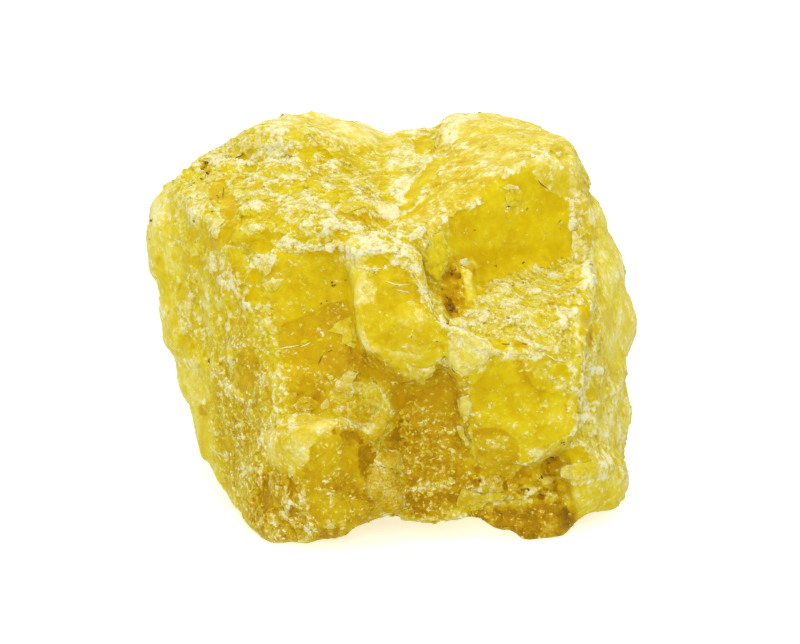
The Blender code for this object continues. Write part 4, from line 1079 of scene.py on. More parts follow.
# one piece from many small meshes: corners in millimetres, faces, how pale, how near a rim, how brown
def joinShapes(name, shapes, material, crust=-0.3, smooth=None):
    points, triangles, marks, start = [], [], [], 0
    for corners, faces, *mark in shapes:
        points.append(corners)
        triangles.append(faces + start)
        marks.append(np.stack(np.broadcast_arrays(*mark, np.zeros(len(corners)))[:3]))
        start += len(corners)
    mesh = bpy.data.meshes.new(name)
    mesh.from_pydata((np.concatenate(points) * mm).tolist(), [], np.concatenate(triangles).tolist())
    mesh.attributes.new("loose", "FLOAT", "POINT").data.foreach_set("value", np.ones(start, np.float32))
    (tint, rim, brown), none = np.concatenate(marks, 1), np.zeros(start)
    setAttribute(mesh, "cover", (crust + tint * 0.6, none + 0.3, none))
    setAttribute(mesh, "body", (tint * 1.2, brown, rim))
    setAttribute(mesh, "marks", (none, none, none + 0.3))
    if smooth:
        mesh.shade_smooth()
        mesh.set_sharp_from_angle(angle=math.radians(smooth))
    print(name + ":", len(mesh.polygons), "triangles")
    return newPiece(name, mesh, material)


def copiesOf(shapes, places, turns, sizes, tints, draw):
    which = draw.integers(len(shapes), size=len(places))
    for index, (corners, faces) in enumerate(shapes):
        chosen = np.flatnonzero(which == index)
        placed = np.einsum("nij,vj->nvi", turns[chosen], corners) * sizes[chosen, None, None]
        placed = (placed + places[chosen, None, :]).reshape(-1, 3)
        offsets = np.arange(len(chosen)) * len(corners)
        copied = (faces[None] + offsets[:, None, None]).reshape(-1, 3)
        yield placed, copied, np.repeat(tints[chosen], len(corners)), 0.0, 0.0


scatter = {
    # how many, radius range in millimetres, how much they lean, how deep they are set
    "flakes": dict(count=8500, small=0.12, large=0.6, lean=0.12, sunk=0.6, seed=21),
    "chips": dict(count=8000, small=0.09, large=0.32, lean=0.22, sunk=0.6, seed=23),
    "crumbs": dict(count=7000, small=0.06, large=0.18, lean=0.6, sunk=0.6, seed=22),
    "thickness": 0.16,
    "clumpSize": 3.0,
    "lowest": 0.9,  # nothing this close above the ground
}


def makeScatter(mesh, level, material):
    spots, normals = pointsOf(mesh)
    clumps = np.clip(noiseAt(spots, scatter["clumpSize"], 3, 40.0) + 0.35, 0.0, 1.0) ** 2
    rough = eased(level["crust"], -0.35, 0.25) * (1.0 - level["calm"]) * eased(spots[:, 2], 0.5, 2.0)
    rough *= 1.0 - 0.6 * level["streak"]
    weights = {
        "flakes": rough * (0.15 + clumps) + 0.1 * level["speck"],
        "chips": rough * (0.3 + clumps) + 0.5 * level["speck"] * (1.0 - 0.8 * level["calm"]),
        "crumbs": (rough * (0.1 + clumps) + 0.9 * level["speck"]) * (0.4 + level["grit"]),
    }
    for name, weight in weights.items():
        kind = scatter[name]
        draw = np.random.default_rng(kind["seed"])
        if name == "crumbs":
            shapes = [crumbShape(draw) for _ in range(7)]
        else:
            shapes = [flakeShape(draw, scatter["thickness"]) for _ in range(9)]
        pale = level["crust"] * 0.7 + level["speck"] * 0.2 - level["streak"] * 0.1
        places, facing, pale = pickPlaces(mesh, weight, pale, kind["count"], draw)
        sizes = kind["small"] * (kind["large"] / kind["small"]) ** (draw.random(len(places)) ** 2.2)
        tints = np.clip(draw.normal(0.36, 0.2, len(places)) + pale, 0.0, 1.0)
        high = places[:, 2] > scatter["lowest"]
        depth = (0.6 if name == "crumbs" else scatter["thickness"]) * kind["sunk"]
        places = (places - facing * (sizes * depth)[:, None])[high]
        turns = turnsFor(facing[high], kind["lean"], draw)
        joinShapes(name, copiesOf(shapes, places, turns, sizes[high], tints[high], draw), material)


# Thin broken plates that lie on the lump. Each has its outline in the view, its thickness and how
# far it stands off in millimetres, how closely it follows the lump below it from 0 to 1, how pale
# it is, and how brown.
plateGrid = 0.19
plateEdge = 0.6  # how wide their thin edges are
plateLean = 0.09  # how far they lean, as a slope
plates = {
    "triangularFlake": dict(
        outline=[(-7.2, 19.4), (-5.2, 21.5), (-3.9, 21.1), (-4.7, 20.2), (-4.6, 18.6), (-4.8, 17.9)],
        thick=0.25, lift=0.14, follow=0.3, tint=0.66, brown=0.3,
    ),
    "longFlakeTop": dict(
        outline=[
            (-3.9, 18.3), (-3.2, 19.6), (-2.3, 20.0), (-1.2, 19.6), (-0.4, 18.6), (-0.2, 17.4), (-0.7, 16.6),
            (-1.8, 16.4), (-2.3, 17.0), (-3.0, 16.9),
        ],
        thick=0.35, lift=0.05, follow=0.7, tint=0.4, brown=0.26,
    ),
    "longFlakeFoot": dict(
        outline=[(-2.2, 15.8), (-0.4, 16.2), (-0.4, 14.4), (-0.6, 13.2), (-1.8, 12.6), (-2.8, 12.9), (-2.4, 14.2)],
        thick=0.35, lift=0.05, follow=0.7, tint=0.38, brown=0.42,
    ),
    "chipBelow": dict(
        outline=[
            (-2.1, 10.4), (-1.2, 11.2), (0, 11.6), (1.2, 11.4), (1.4, 10.6), (1.8, 9.2), (1.2, 8.6), (0, 9.3), (-1, 9.4),
            (-1.8, 9.9),
        ],
        thick=0.4, lift=0.09, follow=0.6, tint=0.5, brown=0.54,
    ),
    "fanChip": dict(
        outline=[
            (-3.0, 7.2), (-2.6, 8.4), (-1.6, 9.2), (-0.2, 9.2), (0.6, 9.0), (1.4, 7.6), (1.7, 6.2), (1.8, 4.2), (1, 3.5),
            (0.2, 3.1), (-0.8, 3.5), (-1.6, 4.4), (-2.6, 5.6),
        ],
        thick=0.7, lift=0.09, follow=0.5, tint=0.5, brown=0.74, rays=(-1.6, 24.0), grid=0.1,
    ),
    "noseFlake": dict(
        outline=[(2.2, 21.7), (5.5, 21.8), (5.4, 20.8), (4, 19.5), (2.9, 20.4)],
        thick=0.3, lift=0.07, follow=0.4, tint=0.5, brown=0.1,
    ),
    "tanChip": dict(
        outline=[(5.6, 22.1), (6.7, 22.9), (7.6, 21.9), (7.9, 21.3), (6.6, 21.4)],
        thick=0.2, lift=0.05, follow=0.6, tint=0.3, brown=0.98,
    ),
    "shelfPlate": dict(
        outline=[
            (7.0, 25.6), (7.5, 26.6), (9, 26.4), (10.5, 25.9), (12.4, 24.8), (13.7, 23.8), (12.4, 23), (11.6, 22),
            (10.2, 21.4), (9, 20.6), (8.2, 21.2), (7.4, 22.8), (6.9, 24.4),
        ],
        thick=0.3, lift=0.05, follow=0.85, tint=0.7,
    ),
    "cornerPlate": dict(
        outline=[(7.2, 26.9), (7.6, 28.2), (8.8, 28.2), (8.8, 26.8)],
        thick=0.2, lift=0.05, follow=0.8, tint=0.6, brown=0.08,
    ),
    "shellPlate": dict(
        outline=[(2.8, 37.2), (4.4, 36.4), (5.9, 38.2), (7.4, 39.2), (7.7, 37), (7.2, 34.8), (6, 32.7), (5.1, 33.5), (3.8, 35.4)],
        thick=0.22, lift=0.02, follow=0.9, tint=0.3,
    ),
    "whitePlate": dict(
        outline=[(-2.3, 42.4), (0, 42.8), (0.9, 42.6), (1.2, 41.6), (1.2, 40.4), (0.1, 39.9), (-1.4, 41), (-2.2, 41.8)],
        thick=0.2, lift=0.05, follow=0.9, tint=1.0,
    ),
    "ledgePlate": dict(
        outline=[
            (-6.6, 41.6), (-5.9, 42.7), (-4.6, 42.6), (-3.0, 42.2), (-2.4, 41.6), (-1.3, 40.5), (-2.4, 40.9),
            (-3.4, 41.6), (-4.6, 41.3), (-5.8, 41.1),
        ],
        thick=0.3, lift=0.11, follow=0.8, tint=0.5, brown=0.2,
    ),
    "windowChip": dict(
        outline=[(14.2, 44.2), (14.9, 44.6), (15.9, 44.3), (16.5, 43.6), (16.2, 42.2), (14.9, 42.0), (14.4, 43.0)],
        thick=0.12, lift=0.01, follow=0.95, tint=0.3,
    ),
    "chipCap": dict(
        outline=[(14.1, 44.2), (14.9, 44.8), (16.0, 44.4), (16.1, 44.1), (14.9, 44.2)],
        thick=0.12, lift=0.07, follow=0.9, tint=0.66,
    ),
    "windowShard": dict(
        outline=[(22.6, 39.0), (23.3, 38.6), (24.6, 37.4), (25.4, 36.2), (24.0, 35.9), (23.0, 35.4), (22.8, 36.6)],
        thick=0.25, lift=0.05, follow=0.6, tint=0.85, brown=0.04,
    ),
    "smallChip": dict(
        outline=[(20.9, 39.8), (21.4, 40.2), (21.8, 39.6), (21.3, 39.1)],
        thick=0.15, lift=0.05, follow=0.6, tint=0.34, brown=0.46,
    ),
    # its white tint is a painted highlight on the prism's flat top
    "prismCap": dict(
        outline=[(8.6, 35.2), (9.4, 35.5), (10.2, 35.1), (10.0, 34.5), (9.0, 34.4)],
        thick=0.12, lift=0.02, follow=0.9, tint=1.0,
    ),
    "leftPlate": dict(
        outline=[(-16.0, 32.2), (-14.6, 33.1), (-13.4, 32.9), (-13.1, 32.1), (-14.2, 31.6), (-15.2, 31.0)],
        thick=0.15, lift=0.02, follow=0.9, tint=0.62,
    ),
    "leftTail": dict(
        outline=[(-16.9, 35.4), (-15.2, 35.8), (-14.4, 35.2), (-14.9, 34.0), (-15.6, 33.0), (-16.0, 33.8)],
        thick=0.2, lift=0.05, follow=0.8, tint=0.75,
    ),
    "whiteBlade": dict(
        outline=[(-22.3, 39.2), (-21.8, 40.0), (-20.8, 40.65), (-20.35, 40.4), (-20.9, 39.9), (-21.5, 39.2), (-22.1, 38.4)],
        thick=0.25, lift=0.14, follow=0.4, tint=0.78,
    ),
    "clearPlate": dict(
        outline=[
            (-7.4, 26.2), (-6.1, 27.8), (-4.6, 28.2), (-4.2, 26.8), (-3.9, 25.4), (-4.0, 24.4), (-4.6, 24.2),
            (-5.8, 25.0), (-5.9, 26.0),
        ],
        thick=0.2, lift=0.02, follow=0.9, tint=0.36, brown=0.1,
    ),
    "tornFlake": dict(
        outline=[(8.0, 17.5), (9.0, 18.2), (9.8, 18.4), (10.0, 17.0), (9.8, 15.2), (9.2, 14.8), (8.5, 16.0)],
        thick=0.25, lift=0.09, follow=0.6, tint=0.58, brown=0.08,
    ),
    "tornTip": dict(
        outline=[(8.2, 14.6), (9.3, 14.4), (9.6, 13.0), (10.1, 12.3), (9.6, 12.0), (8.9, 13.2)],
        thick=0.25, lift=0.07, follow=0.7, tint=0.48, brown=0.06,
    ),
    "tanPlate": dict(
        outline=[(12.2, 8.4), (13.6, 8.4), (14.2, 7.0), (13.8, 6.2), (12.4, 6.8), (11.8, 7.6)],
        thick=0.25, lift=0.05, follow=0.8, tint=0.52, brown=0.58,
    ),
    "heelChip": dict(
        outline=[(21.4, 9.4), (23.4, 10.0), (25.2, 9.9), (26.2, 9.6), (26.6, 8.3), (24.6, 7.7), (23.2, 7.5), (21.4, 8.0)],
        thick=0.35, lift=0.09, follow=0.6, tint=0.5,
    ),
    "sinew": dict(
        outline=[(8.4, 4.0), (10.5, 4.2), (13.5, 4.9), (15, 5.8), (13.6, 6.4), (11.5, 5.9), (9.2, 6.8), (8.4, 5.5)],
        thick=0.25, lift=0.02, follow=0.9, tint=0.42, brown=0.3,
    ),
    "paleDisc": dict(
        outline=[(-12.2, 17.2), (-11.2, 18.1), (-9.8, 18.2), (-8.8, 17.4), (-9.6, 16.5), (-11.4, 16.4)],
        thick=0.15, lift=0.02, follow=0.9, tint=0.38, brown=0.54,
    ),
    "lowFlake": dict(
        outline=[(-8.7, 17.2), (-8.0, 18.0), (-7.5, 17.4), (-7.8, 16.7), (-8.5, 16.6)],
        thick=0.2, lift=0.05, follow=0.8, tint=0.56, brown=0.32,
    ),
}
shelfChips = dict(
    centres=[(15.0, 30.2), (11.8, 27.6), (9.6, 28.5), (15.4, 28.1), (21.9, 29.0), (21.4, 27.0), (23.9, 30.1), (18.2, 31.4)],
    radius=0.7, thick=0.15, lift=0.08, follow=0.8, tint=0.8, seed=31,
)


# the outline with its straight runs broken up
def broken(outline, draw, step=0.4, ragged=0.07):
    corners = []
    for (ax, ay), (bx, by) in zip(outline, outline[1:] + outline[:1]):
        count = max(1, round(math.hypot(bx - ax, by - ay) / step))
        for index in range(count):
            t = index / count
            x, y = draw.normal(0.0, ragged, 2)
            corners.append((ax + (bx - ax) * t + x, ay + (by - ay) * t + y))
    return corners


def nearestOn(across, up, outline):
    best = None
    for (ax, ay), (bx, by) in zip(outline, outline[1:] + outline[:1]):
        sideX, sideY = bx - ax, by - ay
        t = ((across - ax) * sideX + (up - ay) * sideY) / max(sideX**2 + sideY**2, 1e-9)
        t = min(1.0, max(0.0, t))
        x, y = ax + t * sideX, ay + t * sideY
        away = math.hypot(across - x, up - y)
        if best is None or away < best[0]:
            best = (away, x, y)
    return best[1:]


def seenPlace(tree, across, up):
    eye, direction = sightLine(across, up)
    return tree.ray_cast(eye, direction)[:2]


def layPlate(tree, plate, draw):
    outline = broken(plate["outline"], draw)
    left, low = np.min(outline, 0)
    right, high = np.max(outline, 0)
    grid = plate.get("grid", plateGrid)
    columns, rows = (max(2, math.ceil((b - a) / grid)) for a, b in ((left, right), (low, high)))
    bm = bmesh.new()
    rim, pale = bm.verts.layers.float.new("rim"), bm.verts.layers.float.new("pale")
    grid = bmesh.ops.create_grid(bm, x_segments=columns, y_segments=rows, size=0.5)["verts"]
    across = np.array([left + (corner.co.x + 0.5) * (right - left) for corner in grid])
    up = np.array([low + (corner.co.y + 0.5) * (high - low) for corner in grid])
    inside = dict(zip(grid, insideOutline(across, up, outline)))
    lost = [face for face in bm.faces if max(inside[corner] for corner in face.verts) < 0.0]
    bmesh.ops.delete(bm, geom=lost, context="FACES")

    # where the kept corners meet the lump, and the plane through those places
    seen = {}
    for corner, x, y in zip(grid, across, up):
        if corner.is_valid:
            if inside[corner] < 0.0:
                x, y = nearestOn(x, y, outline)
            seen[corner] = (x, y, *seenPlace(tree, x, y))
    hits = [(hit, normal) for x, y, hit, normal in seen.values() if hit]
    centre = Vector(np.median([hit for hit, normal in hits], axis=0))
    facing = sum((normal for hit, normal in hits), Vector()).normalized()
    lean, middle = draw.normal(0.0, plateLean, 2), ((left + right) / 2, (low + high) / 2)
    for corner, (x, y, hit, normal) in seen.items():
        eye, direction = sightLine(x, y)
        spot = eye + direction * (centre - eye).dot(facing) / min(-0.2, direction.dot(facing))
        above = (hit - centre).dot(facing) / mm if hit else 0.0
        height = plate["lift"] + plate["thick"] * min(1.0, 0.3 + max(0.0, inside[corner]) / plateEdge)
        height += max(-0.9, min(0.9, above)) * plate["follow"]
        height += facetHeight(spot / mm, 1.1, 0.4, 0.06) + noise.noise(spot / mm / 0.4) * 0.05
        height += (x - middle[0]) * lean[0] + (y - middle[1]) * lean[1]
        if "rays" in plate:
            away = math.dist((x, y), plate["rays"])
            ray = math.sin(away * 17.0 + noise.noise((x, y, 0.0)) * 2.0)
            height += ray * 0.014
            corner[pale] = ray * 0.07
        corner.co = spot + facing * height * mm
        # paler towards the plate's border: partly crushed wear, partly painted edge highlight
        corner[rim] = max(0.0, 1.0 - inside[corner] / 0.25) * (0.4 + noise.noise(spot / mm) * 0.9)
    raised = bmesh.ops.extrude_face_region(bm, geom=bm.faces[:])["geom"]
    for corner in raised:
        if isinstance(corner, bmesh.types.BMVert):
            corner.co -= facing * (plate["lift"] + 0.6) * mm
    rims = np.array([corner[rim] for corner in bm.verts])
    tints = plate["tint"] + np.array([corner[pale] for corner in bm.verts])
    corners, faces = asArrays(bm)
    return corners / mm, faces, tints, rims, plate.get("brown", 0.0)


def makePlates(tree, material):
    draw = np.random.default_rng(shelfChips["seed"])
    chosen = list(plates.values())
    for x, y in shelfChips["centres"]:
        turns = sorted(draw.uniform(0.0, math.tau, 6))
        radii = draw.uniform(0.6, 1.3, 6) * shelfChips["radius"]
        outline = [(x + 1.2 * r * math.cos(t), y + 0.6 * r * math.sin(t)) for t, r in zip(turns, radii)]
        chosen.append(dict(shelfChips, outline=outline))
    laid = [layPlate(tree, plate, draw) for plate in chosen]
    joinShapes("clingingPlates", laid, material, crust=-0.55, smooth=35.0)


# Thin threads and slits: routes over the lump as the camera sees it, and a radius in millimetres.
threads = {
    "paleThreads": dict(
        radius=0.09, lift=0.02, tint=0.85,
        routes=[
            [(-0.5, 32.6), (0.6, 32.2), (2.5, 32.1)], [(0.8, 31.5), (2.4, 31.2)],
            [(-13.9, 24.1), (-12.6, 24.4), (-11.4, 24.6)], [(-11.1, 24.4), (-9.9, 24.9)],
            [(3.0, 33.6), (4.6, 30.9), (5.6, 28.6)], [(19.2, 23.6), (20.6, 22.8), (22.2, 22.6)],
        ],
    ),
    "darkSlits": dict(
        radius=0.07, lift=-0.02, tint=0.0,
        routes=[
            [(-25.4, 44.3), (-24.8, 44.6), (-24.2, 45.1)], [(-19.9, 47.6), (-19.0, 48.1), (-18.2, 48.5)],
            [(-20.8, 44.4), (-20.9, 42.8)], [(18.4, 45.3), (19.0, 44.6), (19.8, 44.1)], [(21.0, 39.7), (21.4, 40.3)],
            [(-9.0, 22.2), (-8.4, 23.4)], [(-8.0, 23.6), (-7.1, 24.0)], [(7.5, 21.8), (8.2, 21.1)],
            [(13.8, 24.8), (15.0, 24.7)], [(16.4, 24.8), (17.2, 24.6)],
        ],
    ),
}


def layThreads(tree, name, material):
    kind = threads[name]
    data = bpy.data.curves.new(name, "CURVE")
    data.dimensions = "3D"
    data.bevel_depth = kind["radius"] * mm
    data.bevel_resolution = 1
    data.use_fill_caps = True
    for route in kind["routes"]:
        places = []
        for start, end in zip(route, route[1:]):
            steps = max(1, round(math.dist(start, end) / 0.3))
            for index in range(steps + (end == route[-1])):
                x, y = np.array(start) + (np.array(end) - start) * index / steps
                hit, normal = seenPlace(tree, x, y + 0.12 * noise.noise((x * 1.7, y * 1.7, 3.0)))
                if hit:
                    places.append(hit + normal * kind["lift"] * mm)
        if len(places) > 1:
            spline = data.splines.new("POLY")
            spline.points.add(len(places) - 1)
            for index, (point, place) in enumerate(zip(spline.points, places)):
                point.co = (*place, 1.0)
                point.radius = 0.25 + math.sin(math.pi * index / (len(places) - 1)) * 0.75
    curve = bpy.data.objects.new(name, data)
    bpy.context.scene.collection.objects.link(curve)
    bm = bmesh.new()
    bm.from_mesh(bpy.data.meshes.new_from_object(curve.evaluated_get(bpy.context.evaluated_depsgraph_get())))
    bpy.data.objects.remove(curve)
    bmesh.ops.remove_doubles(bm, verts=bm.verts, dist=0.001 * mm)
    corners, faces = asArrays(bm)
    joinShapes(name, [(corners / mm, faces, kind["tint"], kind["tint"], 0.0)], material)


# Clumps of dark grains: each one's place in the view and its radius in millimetres.
grains = [
    (-23.0, 47.4, 0.22), (-23.3, 46.6, 0.28), (-22.6, 46.2, 0.3), (-23.6, 45.4, 0.2), (-22.9, 45.8, 0.14),
    (-25.0, 44.7, 0.1), (-21.5, 43.2, 0.13), (-22.2, 41.3, 0.12), (-24.5, 40.1, 0.14), (-29.7, 40.1, 0.24),
    (-30.1, 37.8, 0.12), (-22.6, 22.6, 0.2), (14.8, 41.9, 0.14), (17.1, 41.6, 0.13), (16.6, 34.9, 0.14),
    (13.2, 34.5, 0.12), (12.4, 32.4, 0.1), (8.1, 34.2, 0.2), (7.7, 33.5, 0.22), (6.5, 31.6, 0.12), (7.2, 30.6, 0.18),
    (7.4, 29.5, 0.3), (7.9, 29.0, 0.32), (7.2, 27.3, 0.18), (15.3, 31.9, 0.12), (16.7, 32.4, 0.1), (-7.3, 32.2, 0.22),
    (-6.9, 32.0, 0.14), (-7.9, 30.1, 0.1), (-8.6, 29.8, 0.12), (-5.5, 32.8, 0.1), (-5.3, 26.3, 0.18), (2.7, 25.6, 0.1),
    (5.9, 25.0, 0.12), (-0.8, 9.5, 0.16), (-1.9, 11.1, 0.13), (9.7, 14.5, 0.16), (21.6, 12.3, 0.2), (20.4, 10.5, 0.24),
    (19.9, 10.0, 0.18), (18.8, 8.1, 0.22), (18.4, 7.6, 0.16), (17.1, 6.6, 0.22), (16.5, 6.4, 0.14), (18.9, 5.9, 0.15),
    (11.1, 7.6, 0.12), (10.6, 39.0, 0.1),
]
grainDraw = dict(seed=41, clump=4, sizes=(0.4, 0.9), tint=0.0, lean=0.4)
# Single pale chips on the clean faces, given in the same way.
paleBits = [
    # window left of the nose
    (-13.9, 33.5, 0.24), (-12.0, 34.8, 0.3), (-8.4, 34.2, 0.3), (-10.6, 29.0, 0.34), (-9.7, 29.1, 0.18),
    (-11.2, 27.1, 0.26), (-8.5, 26.0, 0.24), (-11.2, 21.8, 0.3), (-10.4, 21.6, 0.22), (-8.8, 26.6, 0.26),
    (-10.2, 30.8, 0.16), (-7.4, 24.6, 0.2), (-9.4, 20.9, 0.22), (-8.6, 19.9, 0.2), (-7.0, 22.8, 0.16),
    (-6.2, 31.2, 0.16), (-12.4, 22.6, 0.16), (-6.8, 28.6, 0.2), (-5.9, 29.6, 0.16),
    # window on the right
    (14.6, 41.4, 0.2), (14.9, 40.0, 0.24), (16.4, 41.5, 0.18), (18.4, 41.4, 0.16), (17.1, 38.4, 0.16),
    (14.2, 37.7, 0.18), (12.2, 35.0, 0.18), (10.6, 37.4, 0.18), (19.6, 38.6, 0.14), (9.4, 38.9, 0.2),
    # shelf's face and recess
    (12.4, 17.2, 0.3), (13.6, 18.6, 0.24), (16.2, 16.6, 0.2), (11.0, 14.6, 0.28), (14.4, 12.6, 0.26),
    (18.6, 16.4, 0.3), (19.8, 17.4, 0.3), (4.2, 16.6, 0.26), (5.4, 15.0, 0.22), (3.0, 13.6, 0.22), (6.2, 12.6, 0.24),
]
bitDraw = dict(seed=43, clump=3, sizes=(0.5, 1.0), tint=0.7, lean=0.25)


def makeGrains(tree, name, wanted, kind, material):
    draw = np.random.default_rng(kind["seed"])
    shapes = [crumbShape(draw) for _ in range(5)]
    if kind["tint"]:
        shapes = [flakeShape(draw, scatter["thickness"]) for _ in range(5)]
    places, facing, sizes = [], [], []
    for across, up, radius in wanted:
        for x, y in draw.normal((across, up), radius * 0.6, (kind["clump"], 2)):
            hit, normal = seenPlace(tree, x, y)
            if hit:
                places.append(hit / mm)
                facing.append(normal)
                sizes.append(radius * draw.uniform(*kind["sizes"]))
    places, facing, sizes = np.array(places), np.array(facing), np.array(sizes)
    turns, tints = turnsFor(facing, kind["lean"], draw), np.full(len(places), kind["tint"])
    joinShapes(name, copiesOf(shapes, places, turns, sizes, tints, draw), material)


# Native sulfur, broken by hand: waxy and clear where it split cleanly, milky where it is bruised,
# and under crushed white powder where it was struck.
sulfur = {
    # the amber and umber colours also paint shade in hollows, under overhangs and low down
    "deep": "#E3CB00", "mid": "#E8D622", "pale": "#F0E272", "powder": "#FDF6C4", "amberAndShade": "#C49600",
    "umber": "#805A00",
    # sizes in millimetres
    "pullSize": 0.9, "pull": 0.6,
    "patchSize": 0.6, "laceSize": 0.34,
    "slabSize": 2.2, "chipSize": 0.85, "crumbSize": 0.36, "grainSize": 0.15,
    "scaleSize": 1.3,
    "mottleSize": 3.2, "cloudSize": 1.1,
    "crackSize": 2.4, "veinSize": 2.6,
    "fibreSize": 0.36, "hackleSize": 0.3, "hackleStretch": 7.0, "hackleTurn": (0.0, 0.9, 0.2),
    "layersStretch": 3.6,  # how much longer than wide the marks along the layers are
    "layersTurn": (0.0, -0.35, 0.85),  # radians, from X to the way the layers' edges run
    "topTurn": (0.0, 0.1, -0.39), "sideTurn": (0.0, 1.2, -0.6),
    "scatter": (1.0, 0.85, 0.2), "scatterDepth": 0.9,
    "roughness": 0.4, "dust": 0.03,
}


def makeSulfur():
    material = bpy.data.materials.new("nativeSulfur")
    material.use_nodes = True
    tree = material.node_tree
    surface = tree.nodes["Principled BSDF"]
    place = addNode(tree, "ShaderNodeTexCoord").outputs["Object"]

    def parts(name):
        read = addNode(tree, "ShaderNodeAttribute", attribute_name=name)
        return addNode(tree, "ShaderNodeSeparateXYZ", {0: read.outputs["Vector"]}).outputs

    def calc(operation, *values, clamp=False):
        node = addNode(tree, "ShaderNodeMath", dict(enumerate(values)), operation=operation, use_clamp=clamp)
        return node.outputs[0]

    def total(*values):
        result = values[0]
        for value in values[1:]:
            result = calc("ADD", result, value)
        return result

    def times(*values):
        result = values[0]
        for value in values[1:]:
            result = calc("MULTIPLY", result, value)
        return result

    def less(value):
        return calc("SUBTRACT", 1.0, value)

    def vector(operation, *values):
        return addNode(tree, "ShaderNodeVectorMath", dict(enumerate(values)), operation=operation).outputs

    def pattern(size, detail, roughness, where=place):
        inputs = {"Vector": where, "Scale": 1.0 / (size * mm), "Detail": detail, "Roughness": roughness}
        return calc("SUBTRACT", addNode(tree, "ShaderNodeTexNoise", inputs).outputs["Fac"], 0.5)

    def chips(size, where, **settings):
        inputs = {"Vector": where, "Scale": 1.0 / (size * mm)}
        return addNode(tree, "ShaderNodeTexVoronoi", inputs, **settings).outputs

    def toneOf(cells):
        return calc("SUBTRACT", addNode(tree, "ShaderNodeSeparateColor", {0: cells["Color"]}).outputs[0], 0.5)

    def between(value, low, high):
        inputs = {"Value": value, "From Min": low, "From Max": high}
        return addNode(tree, "ShaderNodeMapRange", inputs, interpolation_type="SMOOTHSTEP").outputs[0]

    def mixed(share, one, other):
        return addNode(tree, "ShaderNodeMix", {0: share, 2: one, 3: other}).outputs[0]

    def tinted(share, colour, hexColour):
        inputs = {0: share, 6: colour, 7: toLinear(hexColour)}
        return addNode(tree, "ShaderNodeMix", inputs, data_type="RGBA", clamp_factor=True).outputs[2]

    # the height of small flat facets, each leaning its own way, in millimetres
    def facets(cells, where, slope):
        offset = vector("SUBTRACT", where, cells["Position"])[0]
        lean = vector("SUBTRACT", cells["Color"], (0.5, 0.5, 0.5))[0]
        return times(vector("DOT_PRODUCT", offset, lean)["Value"], slope / mm)

    crustDeep, grit, specky = parts("cover")
    veil, amberAndShade, rim = parts("body")
    streak, strata, calm = parts("marks")

    # the patches' borders are pulled about, so that they end in tongues and flakes
    pull = addNode(tree, "ShaderNodeTexNoise", {"Vector": place, "Scale": 1.0 / (sulfur["pullSize"] * mm), "Detail": 3.0})
    pulled = vector("MULTIPLY_ADD", pull.outputs["Color"], (sulfur["pull"] * mm,) * 3, place)[0]

    def along(turn, stretch):
        inputs = {"Vector": pulled, "Rotation": turn, "Scale": (stretch, 1.0, 1.0)}
        return addNode(tree, "ShaderNodeMapping", inputs, vector_type="TEXTURE").outputs[0]

    onTop, downSides = along(sulfur["topTurn"], skin["stretch"]), along(sulfur["sideTurn"], skin["stretch"])
    alongLayers = along(sulfur["layersTurn"], sulfur["layersStretch"])
    ragged = pattern(sulfur["patchSize"], 5.0, 0.68, onTop)
    ragged = mixed(streak, ragged, pattern(sulfur["patchSize"], 5.0, 0.68, downSides))
    ragged = mixed(strata, ragged, pattern(sulfur["patchSize"], 4.0, 0.66, alongLayers))
    lace = pattern(sulfur["laceSize"], 3.0, 0.7, pulled)
    grain = pattern(sulfur["grainSize"], 2.0, 0.6)
    mottle = pattern(sulfur["mottleSize"], 3.0, 0.55, pulled)
    cloud = pattern(sulfur["cloudSize"], 4.0, 0.6, pulled)
    slabTone = toneOf(chips(sulfur["slabSize"], onTop))
    chipCells = chips(sulfur["chipSize"], onTop)
    chipTone = toneOf(chipCells)
    crumbCells = chips(sulfur["crumbSize"], pulled)
    crumbTone = toneOf(crumbCells)
    scaleCells = chips(sulfur["scaleSize"], pulled)
    scaleTone = toneOf(scaleCells)
    offset = vector("SUBTRACT", pulled, scaleCells["Position"])[0]
    # each scale is paler towards its upper edge
    scaleShade = times(vector("DOT_PRODUCT", offset, (0.2, -0.4, 0.9))["Value"], 1.0 / (sulfur["scaleSize"] * mm))
    hackle = pattern(sulfur["hackleSize"], 3.0, 0.55, along(sulfur["hackleTurn"], sulfur["hackleStretch"]))

    fibres = pattern(sulfur["fibreSize"], 3.0, 0.6, along(sulfur["layersTurn"], sulfur["hackleStretch"]))

    # crushed powder with a lacy border, and the bruising that fades away from it
    depth = total(crustDeep, times(ragged, 0.52), times(lace, 0.34), times(slabTone, 0.14), times(chipTone, 0.26))
    depth = total(depth, times(crumbTone, 0.22), times(scaleTone, 0.14), times(scaleShade, 0.12))
    crust = between(depth, -0.06, 0.3)
    thick = between(depth, 0.0, 0.6)
    bruise = between(depth, -0.75, 0.2)

    # specks of powder: single chips picked out, ragged at their borders
    picked = total(crumbTone, times(lace, 0.8), times(specky, 0.34))
    speck = between(picked, 0.48, 0.64)

    # short cracks, level more often than not, and pale veins in the clear parts
    flat = vector("MULTIPLY", pulled, (1.0, 1.0, 2.6))[0]
    crack = calc("ABSOLUTE", pattern(sulfur["crackSize"], 2.0, 0.5, flat))
    cracks = times(less(between(crack, 0.004, 0.018)), between(pattern(2.1, 1.0, 0.5, flat), 0.02, 0.10))
    cracks = times(cracks, between(total(crustDeep, grit), 0.0, 0.4))
    vein = calc("ABSOLUTE", pattern(sulfur["veinSize"], 4.0, 0.6, alongLayers))
    veins = times(less(between(vein, 0.0, 0.010)), between(cloud, -0.02, 0.12))

    # painted highlights: thin bright edges of chips
    rims = chips(sulfur["chipSize"], onTop, feature="DISTANCE_TO_EDGE")["Distance"]
    edges = times(less(between(rims, 0.0, 0.06)), between(chipTone, -0.1, 0.3), bruise)

